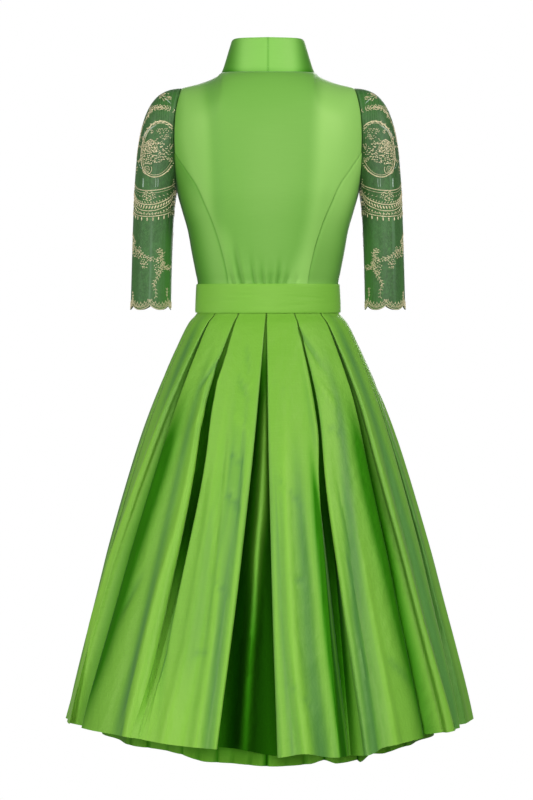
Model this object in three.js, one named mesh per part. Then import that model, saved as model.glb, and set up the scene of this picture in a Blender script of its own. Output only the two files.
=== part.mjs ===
// A worn dirndl dress, hollow, held in the shape that its wearer gives it. Millimetres, +Z up.
// The wearer faces +Y, so the dress's back faces -Y, and its left side is at -X.
// The origin is the centre of the neck, level with the inner ends of the shoulder seams.
import * as THREE from "three";

// Cloth and seams
const taffeta = 1.2; // wall of the bodice, skirt and underskirt
const laceCloth = 1.2; // wall of a sleeve: embroidered net over its ground
const collarCloth = 2.0; // two layers and a stiffener
const beltCloth = 2.0;
const seamGap = 0.3; // between two pieces that are sewn together
const rollHeight = 75; // how far below the shoulder seam the bodice rolls over into front and back

// Lengths that the tables below are built around
const neckHalfWidth = 81;
const neckBackDepth = 62;
const napeDrop = 3; // the middle of the back neckline lies this far below the shoulder points
const shoulderTip = 150;
const underarmZ = -205;
const bodiceBottomZ = -408;
const neckPointZ = -165; // bottom of the front's V
const neckCurve = 0.9; // below 1, the V's sides bow outwards

// The torso's level sections: half width, depth behind and before the side seam,
// the side seam's own y, and how square the section is (2 is an ellipse).
const torsoRows = [
  { z: -408, half: 122.6, back: 90.6, front: 90.6, centre: 8, square: 2.0 },
  { z: -366, half: 122.8, back: 90.8, front: 90.8, centre: 8, square: 2.0 },
  { z: -345, half: 126.5, back: 94, front: 94, centre: 7, square: 2.02 },
  { z: -311, half: 133, back: 98, front: 103, centre: 5, square: 2.06 },
  { z: -274, half: 139.5, back: 102, front: 116, centre: 3, square: 2.1 },
  { z: -240, half: 149, back: 105, front: 125, centre: 1, square: 2.15 },
  { z: -205, half: 158.7, back: 107, front: 126, centre: 0, square: 2.2 },
  { z: -160, half: 168, back: 107, front: 116, centre: 0, square: 2.25 },
  { z: -110, half: 172, back: 105, front: 100, centre: 0, square: 2.3 },
  { z: -60, half: 172, back: 99, front: 86, centre: 0, square: 2.3 },
  { z: 10, half: 172, back: 92, front: 76, centre: 0, square: 2.3 },
];
// The shoulder seam, from the neck to the sleeve
const shoulderRows = [
  { x: 0, z: 0 },
  { x: 81, z: 0 },
  { x: 88, z: -5.5 },
  { x: 102, z: -12.5 },
  { x: 123, z: -19.5 },
  { x: 148, z: -25.5 },
  { x: 165, z: -32 },
];
// Distance of each seam from the middle, by height
const backSeamRows = [
  { z: -408, x: 66 },
  { z: -362, x: 69 },
  { z: -308, x: 80 },
  { z: -262, x: 94.5 },
  { z: -229, x: 108.5 },
  { z: -197, x: 123 },
  { z: -171, x: 140.8 },
  { z: -150, x: 155 },
  { z: -138, x: 162 },
];
const frontSeamRows = [
  { z: -408, x: 60 },
  { z: -362, x: 63 },
  { z: -300, x: 74 },
  { z: -240, x: 86 },
  { z: -200, x: 98 },
  { z: -165, x: 118 },
  { z: -135, x: 144 },
];
const backArmholeRows = [
  { z: -205, x: 158.7 },
  { z: -190, x: 159.3 },
  { z: -165, x: 160.5 },
  { z: -138, x: 161.5 },
  { z: -112, x: 162 },
  { z: -78, x: 160.5 },
  { z: -54, x: 157 },
  { z: -36, x: 153 },
  { z: -20, x: 149 },
];
const frontArmholeRows = [
  { z: -205, x: 158.7 },
  { z: -190, x: 156 },
  { z: -170, x: 151 },
  { z: -140, x: 145 },
  { z: -110, x: 142.5 },
  { z: -80, x: 143 },
  { z: -50, x: 146 },
  { z: -20, x: 149.5 },
];
const gathers = { count: 5, depth: 2.2, reach: 0.62, fromZ: -285, fullZ: -352 };

// Collar: how its upper edge stands from its seam, from the nape (0) to the bottom of the V (1)
const collarRows = [
  { along: 0, up: 60, inward: 11, forward: 0 },
  { along: 0.18, up: 59, inward: 14, forward: 0 },
  { along: 0.36, up: 57, inward: 19, forward: 3 },
  { along: 0.55, up: 50, inward: 15, forward: 12 },
  { along: 0.78, up: 33, inward: 8, forward: 12 },
  { along: 1, up: 13, inward: 2, forward: 5 },
];
const belt = { topZ: -366, bottomZ: -415.5, halfTop: 124.8, halfBottom: 126.9, depthLess: 32, lapDegrees: 9, lapRise: 2.6 };
const waistCentreY = 8;

// Sleeve: the cuff's oval, and how far each rib bows out of the armhole and rises from the cuff
const cuff = { x: 204.9, y: 0, z: -402, halfWidth: 35, halfDepth: 38, scallops: 6, scallopDepth: 9 };
const rib = { capReach: 85, sideReach: 12, underReach: 14, capRise: 261, underRise: 150, backBow: 0.35, capLean: 9, underLean: 3 };

// Front opening
const placket = { halfWidth: 12, topZ: -172, bottomZ: -364.5 };
const button = { count: 7, radius: 6.5, height: 3.6, topZ: -184, pitch: 28 };

// Skirt: its outline by height
const skirtRows = [
  { z: -408.3, half: 122.6 },
  { z: -416, half: 124.3 },
  { z: -432, half: 138 },
  { z: -474, half: 159.5 },
  { z: -516, half: 178.5 },
  { z: -579, half: 203.5 },
  { z: -663, half: 231.5 },
  { z: -747, half: 257 },
  { z: -831, half: 281 },
  { z: -915, half: 302.5 },
  { z: -999, half: 324.5 },
  { z: -1083, half: 345.5 },
  { z: -1125, half: 354.5 },
];
const skirtDepthLess = 32; // the skirt is this much less deep than wide, each way
const skirtTopZ = -408.5;
const skirtHemZ = -1123;
const valleySag = 0.12; // cloth that lies deeper in a pleat hangs lower by this share
const foldRound = { waist: 6, middle: 11, hem: 20 }; // flat lead-in beside each fold edge
// Inverted pleats, anticlockwise from above, from the middle of the back: where each one's valley
// lies, and at the waist, the middle and the hem its half mouth, depth and the two tucks
// (how far the valley reaches under the panel on either side; below 0 the side slopes open).
const pleatRows = [
  { waist: -176, hem: -178, mouth: [0.9, 7, 30], depth: [7, 28, 40], before: [8, 14, -2], after: [8, 14, -8] },
  { waist: -152, hem: -153, mouth: [0.9, 6, 22], depth: [7, 26, 30], before: [8, 12, -12], after: [8, 12, -6] },
  { waist: -126, hem: -128, mouth: [0.9, 8, 28], depth: [7, 28, 34], before: [8, 12, -6], after: [8, 10, -16] },
  { waist: -100, hem: -104, mouth: [0.9, 6, 22], depth: [7, 24, 26], before: [8, 10, -14], after: [8, 12, -8] },
  { waist: -73, hem: -85, mouth: [0.9, 7, 24], depth: [7, 24, 24], before: [8, 10, -14], after: [8, 10, -12] },
  { waist: -46.5, hem: -64, mouth: [0.9, 12, 40], depth: [7, 28, 34], before: [8, 2, -26], after: [8, 14, -4] },
  { waist: -23, hem: -37, mouth: [0.9, 8, 30], depth: [7, 28, 8], before: [8, 9, -20], after: [8, 9, -20] },
  { waist: -4.7, hem: -4.7, mouth: [0.9, 13, 60], depth: [7, 32, 46], before: [8, 16, 16], after: [8, 16, 8] },
  { waist: 21, hem: 25.5, mouth: [0.9, 9, 21], depth: [7, 28, 32], before: [8, 2, -12], after: [8, 12, -2] },
  { waist: 49, hem: 50.5, mouth: [0.9, 9, 26], depth: [7, 28, 32], before: [8, 12, -4], after: [8, 2, -18] },
  { waist: 75, hem: 74, mouth: [0.9, 7, 24], depth: [7, 24, 26], before: [8, 10, -14], after: [8, 10, -10] },
  { waist: 101, hem: 101, mouth: [0.9, 6, 24], depth: [7, 26, 30], before: [8, 12, -12], after: [8, 10, -6] },
  { waist: 127, hem: 127, mouth: [0.9, 8, 28], depth: [7, 28, 34], before: [8, 10, -6], after: [8, 12, -14] },
  { waist: 153, hem: 154, mouth: [0.9, 7, 22], depth: [7, 26, 30], before: [8, 12, -6], after: [8, 12, -12] },
];
const middleShare = 0.34; // where along the skirt the tables' middle value holds
// The hem hangs lower here and there, by angle from the middle of the back
const hemDropRows = [
  { turn: -180, drop: 0 },
  { turn: -90, drop: 8 },
  { turn: -62, drop: -2 },
  { turn: -45, drop: -5 },
  { turn: -27, drop: 0 },
  { turn: -12, drop: 3 },
  { turn: 5, drop: 14 },
  { turn: 11, drop: 9 },
  { turn: 20, drop: 17 },
  { turn: 29, drop: 18 },
  { turn: 37, drop: 6 },
  { turn: 54, drop: 1 },
  { turn: 90, drop: 7 },
  { turn: 180, drop: 0 },
];
const skirtPanels = [
  { name: "skirt_front", from: 13, to: 3, wraps: true },
  { name: "skirt_left", from: 3, to: 6, wraps: false },
  { name: "skirt_back", from: 6, to: 9, wraps: false },
  { name: "skirt_right", from: 9, to: 13, wraps: false },
];
const skirtShares = [0, 0.015, 0.06, 0.15, 0.29, 0.5, 0.74, 1];

// Underskirt: it hangs inside the deepest pleat by `clear`, more towards its hem
const underskirt = { hemZ: -1150, clear: 1.8, hemClear: 13, waves: 14, waveDepth: 11, columns: 64 };
const underskirtDropRows = [
  { turn: -180, drop: 0 },
  { turn: -30, drop: 0 },
  { turn: -20, drop: 10 },
  { turn: 8, drop: 14 },
  { turn: 20, drop: 8 },
  { turn: 30, drop: 13 },
  { turn: 45, drop: 7 },
  { turn: 60, drop: 1 },
  { turn: 180, drop: 0 },
];
const underskirtShares = [0, 0.015, 0.06, 0.15, 0.29, 0.6, 1];

const colours = {
  taffeta: new THREE.MeshStandardMaterial({ color: 0x7fbb45, roughness: 0.42, metalness: 0 }),
  bodice: new THREE.MeshStandardMaterial({ color: 0x86c05b, roughness: 0.4, metalness: 0 }),
  lace: new THREE.MeshStandardMaterial({ color: 0x3f6b3c, roughness: 0.55, metalness: 0 }),
};

const degrees = Math.PI / 180;
const dress = new THREE.Group();

function addPiece(name, geometry, material) {
  const mesh = new THREE.Mesh(geometry, material);
  mesh.name = name;
  dress.add(mesh);
}

// Value of a column at `at`, on a smooth curve through the rows that never overshoots them.
function read(rows, key, at, by) {
  const last = rows.length - 1;
  if (at <= rows[0][by]) return rows[0][key];
  if (at >= rows[last][by]) return rows[last][key];
  let i = 0;
  while (rows[i + 1][by] < at) i++;
  const rise = (k) => (rows[k + 1][key] - rows[k][key]) / (rows[k + 1][by] - rows[k][by]);
  const slope = (k) => {
    if (k === 0) return rise(0);
    if (k === last) return rise(last - 1);
    const [a, b] = [rise(k - 1), rise(k)];
    return a * b <= 0 ? 0 : (2 * a * b) / (a + b);
  };
  const width = rows[i + 1][by] - rows[i][by];
  const t = (at - rows[i][by]) / width;
  const [t2, t3] = [t * t, t * t * t];
  return (
    (2 * t3 - 3 * t2 + 1) * rows[i][key] +
    (t3 - 2 * t2 + t) * width * slope(i) +
    (3 * t2 - 2 * t3) * rows[i + 1][key] +
    (t3 - t2) * width * slope(i + 1)
  );
}

// Unit normals of a grid of points, by the neighbours along and across it.
function gridNormals(rows, around) {
  const high = rows.length;
  const wide = rows[0].length;
  return rows.map((row, i) =>
    row.map((_, j) => {
      const left = around ? row[(j + wide - 1) % wide] : row[Math.max(j - 1, 0)];
      const right = around ? row[(j + 1) % wide] : row[Math.min(j + 1, wide - 1)];
      const below = rows[Math.max(i - 1, 0)][j];
      const above = rows[Math.min(i + 1, high - 1)][j];
      const across = right.clone().sub(left);
      return across.cross(above.clone().sub(below)).normalize();
    }),
  );
}

// A closed wall of cloth: the grid moved by `outer` and by `inner` along its normals, joined at its edges.
function clothWall(rows, outer, inner, around = false) {
  const high = rows.length;
  const wide = rows[0].length;
  const normals = gridNormals(rows, around);
  const positions = [];
  for (const side of [outer, inner]) {
    rows.forEach((row, i) =>
      row.forEach((point, j) => {
        const moved = point.clone().addScaledVector(normals[i][j], side);
        positions.push(moved.x, moved.y, moved.z);
      }),
    );
  }
  const index = [];
  const at = (side, i, j) => side * high * wide + i * wide + (j % wide);
  const quad = (a, b, c, d) => index.push(a, b, c, a, c, d);
  const columns = around ? wide : wide - 1;
  for (let i = 0; i < high - 1; i++) {
    for (let j = 0; j < columns; j++) {
      quad(at(0, i, j), at(0, i, j + 1), at(0, i + 1, j + 1), at(0, i + 1, j));
      quad(at(1, i, j), at(1, i + 1, j), at(1, i + 1, j + 1), at(1, i, j + 1));
    }
  }
  for (let j = 0; j < columns; j++) {
    quad(at(1, 0, j), at(1, 0, j + 1), at(0, 0, j + 1), at(0, 0, j));
    quad(at(0, high - 1, j), at(0, high - 1, j + 1), at(1, high - 1, j + 1), at(1, high - 1, j));
  }
  if (!around) {
    for (let i = 0; i < high - 1; i++) {
      quad(at(0, i, 0), at(0, i + 1, 0), at(1, i + 1, 0), at(1, i, 0));
      quad(at(1, i, wide - 1), at(1, i + 1, wide - 1), at(0, i + 1, wide - 1), at(0, i, wide - 1));
    }
  }
  const geometry = new THREE.BufferGeometry();
  geometry.setAttribute("position", new THREE.Float32BufferAttribute(positions, 3));
  geometry.setIndex(index);
  geometry.computeVertexNormals();
  return geometry;
}

// The same grid on the other side of the body, with its columns turned round so that it still faces out.
const mirrored = (rows) => rows.map((row) => row.map((p) => new THREE.Vector3(-p.x, p.y, p.z)).reverse());

const shares = (count) => Array.from({ length: count + 1 }, (_, i) => i / count);
const mix = (a, b, t) => a + (b - a) * t;

// ---- Bodice ----

const backTopZ = (x) => (x < neckHalfWidth ? -napeDrop * (1 - (x / neckHalfWidth) ** 2) : read(shoulderRows, "z", x, "x"));
const backTopY = (x) => (x < neckHalfWidth ? -neckBackDepth * Math.sqrt(1 - (x / neckHalfWidth) ** 2) : 0);
const shoulderZ = (x) => read(shoulderRows, "z", x, "x");
const frontEdgeZ = (x) => (x < neckHalfWidth ? neckPointZ * (1 - (x / neckHalfWidth) ** (1 / neckCurve)) : shoulderZ(x));

// Half turn `psi` runs from the middle of the back (0) by the side seam (pi/2) to the middle of the front (pi).
function torsoPoint(psi, z) {
  const side = Math.sign(psi) || 1;
  const turn = Math.abs(psi);
  const onBack = turn <= Math.PI / 2;
  const power = 2 / read(torsoRows, "square", z, "z");
  const x = read(torsoRows, "half", z, "z") * Math.sin(turn) ** power;
  const deep = Math.abs(Math.cos(turn)) ** power;
  const centre = read(torsoRows, "centre", z, "z");
  const level = onBack
    ? centre - read(torsoRows, "back", z, "z") * deep
    : centre + read(torsoRows, "front", z, "z") * deep;
  const topY = onBack ? backTopY(x) : 0;
  const topZ = onBack ? backTopZ(x) : shoulderZ(x);
  const below = THREE.MathUtils.clamp((topZ - z) / rollHeight, 0, 1);
  const roll = Math.sqrt(1 - (1 - below) ** 2);
  return new THREE.Vector3(side * x, topY + (level - topY) * roll, z);
}

// The half turn at which the torso is x wide at this height
function turnAt(x, z, onBack) {
  const square = read(torsoRows, "square", z, "z");
  const share = Math.min(1, x / read(torsoRows, "half", z, "z"));
  const turn = Math.asin(Math.min(1, share ** (square / 2)));
  return onBack ? turn : Math.PI - turn;
}

const seamX = (rows, z) => (z > rows[rows.length - 1].z ? Infinity : read(rows, "x", z, "z"));
const armholeTurn = (z, onBack) => turnAt(read(onBack ? backArmholeRows : frontArmholeRows, "x", z, "z"), z, onBack);
const seamTurn = (z, onBack) => turnAt(seamX(onBack ? backSeamRows : frontSeamRows, z), z, onBack);

// Height at which a column of cloth that follows turn(z) leaves the piece, where `inside` falls below 0
function columnTop(turn, inside) {
  let [low, high] = [bodiceBottomZ, 4];
  for (let step = 0; step < 40; step++) {
    const z = (low + high) / 2;
    if (inside(turn(z), z) > 0) low = z;
    else high = z;
  }
  return low;
}

// Heights from `knee` to `top`, evenly along the cloth as it rolls over towards the shoulder seam
function rolledHeights(knee, top, seamZ, count) {
  const quarter = (rollHeight * Math.PI) / 2;
  const downFrom = (z) => {
    const below = seamZ - z;
    return below < rollHeight ? rollHeight * Math.acos(1 - Math.max(0, below) / rollHeight) : quarter + below - rollHeight;
  };
  const heightAt = (down) =>
    down < quarter ? seamZ - rollHeight * (1 - Math.cos(down / rollHeight)) : seamZ - rollHeight - (down - quarter);
  return shares(count).map((share) => heightAt(mix(downFrom(knee), downFrom(top), share)));
}

// A bodice panel between two seams, whose half turns by height are `near` and `far`. Its lower rows
// end at `knee`, so that the seams of two neighbours have the same heights, and `rolled` rows follow.
function bodicePanel({ near, far, inside, columns, knee, rolled, seamZ, crease, forward = 0 }) {
  const allowance = seamGap / 2;
  const perTurn = 80; // millimetres along the cloth for a turn of one radian
  const grid = columns.map((share) => {
    const turn = (z) => {
      const [a, b] = [near(z), far(z)];
      return mix(a + allowance / perTurn, b - allowance / perTurn, share);
    };
    const top = columnTop(turn, inside);
    const middle = knee ? knee(share) : top;
    const heights = [bodiceBottomZ, ...lowerRows.map((rowShare) => mix(belt.topZ, middle, rowShare))];
    if (rolled) {
      const x = Math.abs(torsoPoint(turn(top), top).x);
      heights.push(...rolledHeights(middle, top, seamZ(x), rolled).slice(1));
    }
    return heights.map((z) => {
      const point = torsoPoint(turn(z), z);
      point.y += forward * Math.max(0, 1 - Math.abs(point.y) / 20); // apart along the shoulder seam only
      if (crease) {
        const outward = new THREE.Vector3(point.x, point.y - waistCentreY, 0).normalize();
        point.addScaledVector(outward, -crease(share, z));
      }
      return point;
    });
  });
  return grid[0].map((_, i) => grid.map((column) => column[i]));
}

const lowerRows = [0, 0.1, 0.24, 0.42, 0.6, 0.78, 0.9, 1]; // above the belt

// Gathers sink into the back only, so that the belt still closes over them.
function gatherDepth(share, z) {
  const offCentre = Math.abs(2 * share - 1) / gathers.reach;
  if (offCentre >= 1) return 0;
  const height = THREE.MathUtils.smoothstep(-z, -gathers.fromZ, -gathers.fullZ);
  const wave = 0.5 - 0.5 * Math.cos(2 * Math.PI * gathers.count * (offCentre * 0.5 + 0.5));
  return gathers.depth * height * wave * (1 - offCentre ** 4);
}

function makeBodice() {
  const backEdge = (z) => Math.min(seamTurn(z, true), armholeTurn(z, true));
  const backSeamTop = columnTop((z) => seamTurn(z, true), (turn, z) => armholeTurn(z, true) - turn);
  const frontSeamTop = columnTop((z) => seamTurn(z, false), (turn, z) => turn - armholeTurn(z, false));
  // Columns of half the back: eight round the neck, up to its corner, then five out to the sleeve
  const neckTurn = (share) => turnAt(neckHalfWidth * Math.sin((share * Math.PI) / 2), 0, true) / backEdge(0);
  const halfShares = [...shares(8).map(neckTurn), ...shares(5).slice(1).map((share) => mix(neckTurn(1), 1, share))];
  const back = bodicePanel({
    near: (z) => -backEdge(z),
    far: backEdge,
    inside: (turn, z) => backTopZ(Math.abs(torsoPoint(turn, z).x)) - z,
    columns: [...halfShares.map((share) => 0.5 - share / 2).reverse(), ...halfShares.slice(1).map((share) => 0.5 + share / 2)],
    knee: () => backSeamTop,
    rolled: 7,
    seamZ: backTopZ,
    crease: gatherDepth,
    forward: -seamGap / 2,
  });
  const sideBack = bodicePanel({
    near: (z) => seamTurn(z, true),
    far: () => Math.PI / 2,
    inside: (turn, z) => (z < underarmZ ? 1 : armholeTurn(z, true) - turn),
    columns: shares(6),
  });
  const sideFront = bodicePanel({
    near: () => Math.PI / 2,
    far: (z) => seamTurn(z, false),
    inside: (turn, z) => (z < underarmZ ? 1 : turn - armholeTurn(z, false)),
    columns: shares(6),
  });
  const front = bodicePanel({
    near: (z) => Math.max(seamTurn(z, false), armholeTurn(z, false)),
    far: () => Math.PI,
    inside: (turn, z) => frontEdgeZ(Math.abs(torsoPoint(turn, z).x)) - z,
    columns: [0, 0.12, 0.24, 0.36, 0.48, 0.6, 0.72, 0.84, 1],
    knee: (share) => mix(frontSeamTop, neckPointZ - 30, share),
    rolled: 7,
    seamZ: shoulderZ,
    forward: seamGap / 2,
  });
  addPiece("back", clothWall(back, taffeta / 2, -taffeta / 2), colours.bodice);
  for (const [name, grid] of [["side_back", sideBack], ["side_front", sideFront], ["front", front]]) {
    addPiece(name + "_right", clothWall(grid, taffeta / 2, -taffeta / 2), colours.bodice);
    addPiece(name + "_left", clothWall(mirrored(grid), taffeta / 2, -taffeta / 2), colours.bodice);
  }
}

// The strip over the front edges, made from the fronts' points moved out, and its buttons
function makeFrontOpening() {
  const lift = taffeta + 2 * seamGap;
  const rows = shares(10).map((share) => {
    const z = mix(placket.bottomZ, placket.topZ, share);
    return shares(6).map((across) => {
      const x = mix(placket.halfWidth, -placket.halfWidth, across);
      const point = torsoPoint(turnAt(Math.abs(x), z, false), z);
      return new THREE.Vector3(x, point.y, z);
    });
  });
  const half = taffeta / 2;
  addPiece("placket", clothWall(rows, lift + half, lift - half), colours.bodice);
  const onPlacket = lift + half + 2 * seamGap;
  for (let i = 0; i < button.count; i++) {
    const z = button.topZ - i * button.pitch;
    const here = torsoPoint(Math.PI, z);
    const above = torsoPoint(Math.PI, z + 1);
    const tilt = Math.atan2(above.y - here.y, 1);
    const profile = [
      new THREE.Vector2(0, 0),
      new THREE.Vector2(button.radius * 0.8, 0),
      new THREE.Vector2(button.radius, button.height * 0.35),
      new THREE.Vector2(button.radius * 0.86, button.height * 0.75),
      new THREE.Vector2(button.radius * 0.45, button.height),
      new THREE.Vector2(0, button.height),
    ];
    const dome = new THREE.LatheGeometry(profile, 12);
    dome.rotateX(-tilt);
    dome.translate(0, here.y + onPlacket / Math.cos(tilt), z);
    addPiece("button_" + (i + 1), dome, colours.bodice);
  }
}

// ---- Collar ----

// The neck seam on the right side, from the nape (0) over the shoulder to the bottom of the V (1)
const napeShare = 0.36;
function neckSeam(along) {
  if (along <= napeShare) {
    const turn = (along / napeShare) * (Math.PI / 2);
    const x = neckHalfWidth * Math.sin(turn);
    return new THREE.Vector3(x, backTopY(x), backTopZ(x));
  }
  const z = neckPointZ * ((along - napeShare) / (1 - napeShare)) ** 1.5;
  const x = neckHalfWidth * Math.max(0, 1 - z / neckPointZ) ** neckCurve;
  return torsoPoint(turnAt(x, z, false), z);
}

// Which way the bodice would go on past its neck edge, level with its cloth
function pastNeckEdge(along) {
  const seam = neckSeam(along);
  const run = neckSeam(Math.min(1, along + 0.01)).sub(neckSeam(Math.max(0, along - 0.01))).normalize();
  const onBack = along <= napeShare;
  const lower = torsoPoint(turnAt(seam.x, seam.z - 2, onBack), seam.z - 2);
  const past = seam.clone().sub(lower);
  return { seam, run, past: past.addScaledVector(run, -past.dot(run)).normalize() };
}

function makeCollar() {
  const columns = shares(20).map((share) => {
    const along = mix(0, 0.97, share);
    const { seam, run, past } = pastNeckEdge(along);
    const inward = new THREE.Vector2(seam.x, seam.y).normalize().multiplyScalar(-read(collarRows, "inward", along, "along"));
    const up = read(collarRows, "up", along, "along");
    const rise = new THREE.Vector3(inward.x, inward.y + read(collarRows, "forward", along, "along"), up);
    const across = run.clone().cross(rise).normalize();
    const foot = seam.addScaledVector(past, 2 * seamGap + (collarCloth / 2) * Math.abs(across.dot(past)));
    return shares(4).map((height) => {
      const bend = height ** 0.75; // it leans in most just above its seam
      const x = foot.x + rise.x * bend;
      return new THREE.Vector3(share === 0 ? seamGap : x, foot.y + rise.y * bend, foot.z + rise.z * height);
    });
  });
  const rows = columns[0].map((_, i) => columns.map((column) => column[i]));
  addPiece("collar_right", clothWall(rows, collarCloth / 2, -collarCloth / 2), colours.bodice);
  addPiece("collar_left", clothWall(mirrored(rows), collarCloth / 2, -collarCloth / 2), colours.bodice);
}

// ---- Belt ----

function makeBelt() {
  const rows = shares(1).map((height) => {
    const z = mix(belt.bottomZ, belt.topZ, height);
    const half = mix(belt.halfBottom, belt.halfTop, height);
    return shares(72).map((share) => {
      const turn = mix(-180, 180 + 2 * belt.lapDegrees, share) - belt.lapDegrees;
      const over = THREE.MathUtils.smoothstep(turn, 145, 168) * belt.lapRise;
      const angle = turn * degrees;
      const deep = half + over - belt.depthLess;
      return new THREE.Vector3((half + over) * Math.sin(angle), waistCentreY - deep * Math.cos(angle), z);
    });
  });
  addPiece("belt", clothWall(rows, beltCloth / 2, -beltCloth / 2), colours.taffeta);
}

// ---- Sleeves ----

// The armhole's edge: 0 at the shoulder, 0.25 down the back, 0.5 under the arm, 0.75 up the front
function armholePoint(round) {
  const tipZ = shoulderZ(shoulderTip);
  const z = mix(tipZ, underarmZ, (1 - Math.cos(2 * Math.PI * round)) / 2);
  const onBack = round <= 0.5;
  if (round === 0) return new THREE.Vector3(shoulderTip, 0, tipZ);
  return torsoPoint(armholeTurn(z, onBack), z);
}

function cuffPoint(round) {
  const angle = 2 * Math.PI * round;
  const lobe = Math.abs(Math.sin(Math.PI * (cuff.scallops * round + 0.5)));
  return new THREE.Vector3(
    cuff.x + cuff.halfWidth * Math.cos(angle),
    cuff.y - cuff.halfDepth * Math.sin(angle),
    cuff.z - cuff.scallopDepth * lobe ** 0.7,
  );
}

// A rib of the sleeve is a cubic curve out of the armhole and down to the cuff.
function sleeveRib(round) {
  const angle = 2 * Math.PI * round;
  const onCap = (1 + Math.cos(angle)) / 2;
  const under = 1 - onCap;
  const aside = Math.abs(Math.sin(angle));
  const leave = new THREE.Vector3(onCap + 0.2 * under, -rib.backBow * Math.sin(angle), -under).normalize();
  const start = armholePoint(round);
  start.x += mix(laceCloth + 0.5, 0.8, onCap);
  const reach = rib.capReach * onCap ** 1.5 + rib.sideReach * aside + rib.underReach * under;
  const end = cuffPoint(round);
  const rise = mix(rib.underRise, rib.capRise, onCap);
  const before = end.clone().add(new THREE.Vector3(-mix(rib.underLean, rib.capLean, onCap), 0, rise));
  return new THREE.CubicBezierCurve3(start, start.clone().addScaledVector(leave, reach), before, end);
}

function makeSleeves() {
  const ribs = Array.from({ length: 36 }, (_, i) => sleeveRib(i / 36));
  const rows = [1, 0.9, 0.74, 0.58, 0.44, 0.32, 0.2, 0.1, 0].map((along) =>
    ribs.map((curve) => curve.getPoint(along)),
  );
  const outward = rows.map((row) => [...row].reverse());
  addPiece("sleeve_right", clothWall(outward, laceCloth / 2, -laceCloth / 2, true), colours.lace);
  addPiece("sleeve_left", clothWall(mirrored(outward), laceCloth / 2, -laceCloth / 2, true), colours.lace);
}

// ---- Skirt ----

// Value at a share of the length from a row's three numbers: waist, middle and hem
const alongSkirt = ([waist, middle, hem], share) =>
  read([{ at: 0, value: waist }, { at: middleShare, value: middle }, { at: 1, value: hem }], "value", share, "at");

// A point on the skirt's oval, `aside` mm along it from `turn` degrees and `inwards` mm inside it
function ovalPoint(half, turn, aside, inwards, z) {
  const deep = half - skirtDepthLess;
  const speed = (angle) => Math.hypot(half * Math.cos(angle), deep * Math.sin(angle));
  const start = turn * degrees;
  const angle = start + aside / speed(start);
  const normal = new THREE.Vector2(deep * Math.sin(angle), -half * Math.cos(angle)).normalize();
  return new THREE.Vector3(
    half * Math.sin(angle) - normal.x * inwards,
    waistCentreY - deep * Math.cos(angle) - normal.y * inwards,
    z,
  );
}

// The control points of one inverted pleat: aside and inwards, from its left lead-in to its right one
function pleatProfile(row, share) {
  const mouth = alongSkirt(row.mouth, share);
  const depth = alongSkirt(row.depth, share);
  const before = alongSkirt(row.before, share);
  const after = alongSkirt(row.after, share);
  const lead = alongSkirt([foldRound.waist, foldRound.middle, foldRound.hem], share);
  const half = (tuck, side) => [
    [side * (mouth + lead), 0],
    [side * mouth, 0],
    [side * (mouth - 0.1 * tuck), depth * 0.16],
    [side * (mouth + tuck * 0.5), depth * 0.5],
    [side * (mouth + tuck * 1.1), depth * 0.84],
    [side * (mouth + tuck), depth],
    [side * (mouth + tuck) * 0.5, depth],
  ];
  return [...half(before, -1), [0, depth], ...half(after, 1).reverse()];
}

const pleatTurn = (row, share) => mix(row.waist, row.hem, share ** 0.8);

// One ring of control points around the skirt from pleat `from` to pleat `to`, each as [turn, aside, inwards]
function skirtControls(from, to, share) {
  const controls = [];
  for (let k = from; k <= to; k++) {
    const row = pleatRows[k % pleatRows.length];
    const lap = Math.floor(k / pleatRows.length) * 360;
    const turn = pleatTurn(row, share) + lap;
    pleatProfile(row, share).forEach(([aside, inwards]) => controls.push([turn, aside, inwards]));
    const next = pleatRows[(k + 1) % pleatRows.length];
    const nextLap = Math.floor((k + 1) / pleatRows.length) * 360;
    controls.push([mix(turn, pleatTurn(next, share) + nextLap, 0.5), 0, 0]);
  }
  return controls;
}

// Cloth between two pleats' valleys: a cubic B-spline over the controls, read at its knots
function skirtGrid(from, to) {
  const valley = 7; // the control at the bottom of a pleat
  const perPleat = 16;
  const first = valley;
  const last = (to - from) * perPleat + valley;
  return skirtShares
    .map((share) => {
      const controls = skirtControls(from - 1 + pleatRows.length, to + 1 + pleatRows.length, share);
      const half = (z) => read([...skirtRows].reverse(), "half", z, "z");
      const flatZ = mix(skirtTopZ, skirtHemZ, share);
      const points = controls.map(([turn, aside, inwards]) => ovalPoint(half(flatZ), turn, aside, inwards, 0));
      const inside = controls.map((control) => control[2]);
      const blend = (values, i) => (values[i - 1] + 4 * values[i] + values[i + 1]) / 6;
      const row = [];
      for (let j = first; j <= last; j++) {
        const i = j + perPleat;
        const lone = j === first || j === last ? 0.5 * seamGap : 0;
        const x = blend(points.map((p) => p.x), i);
        const y = blend(points.map((p) => p.y), i);
        const turn = Math.atan2(x, waistCentreY - y) / degrees;
        const drop = read(hemDropRows, "drop", turn, "turn") + valleySag * blend(inside, i);
        const step = new THREE.Vector3(x, y, flatZ - drop * share);
        if (lone) {
          const other = j === first ? i + 1 : i - 1;
          const along = new THREE.Vector3(blend(points.map((p) => p.x), other) - x, blend(points.map((p) => p.y), other) - y, 0);
          step.addScaledVector(along.normalize(), lone);
        }
        row.push(step);
      }
      return row;
    })
    .reverse();
}

function makeSkirt() {
  for (const { name, from, to, wraps } of skirtPanels) {
    const grid = skirtGrid(from, wraps ? to + pleatRows.length : to);
    addPiece(name, clothWall(grid, taffeta / 2, -taffeta / 2), colours.taffeta);
  }
}

// ---- Underskirt ----

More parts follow.
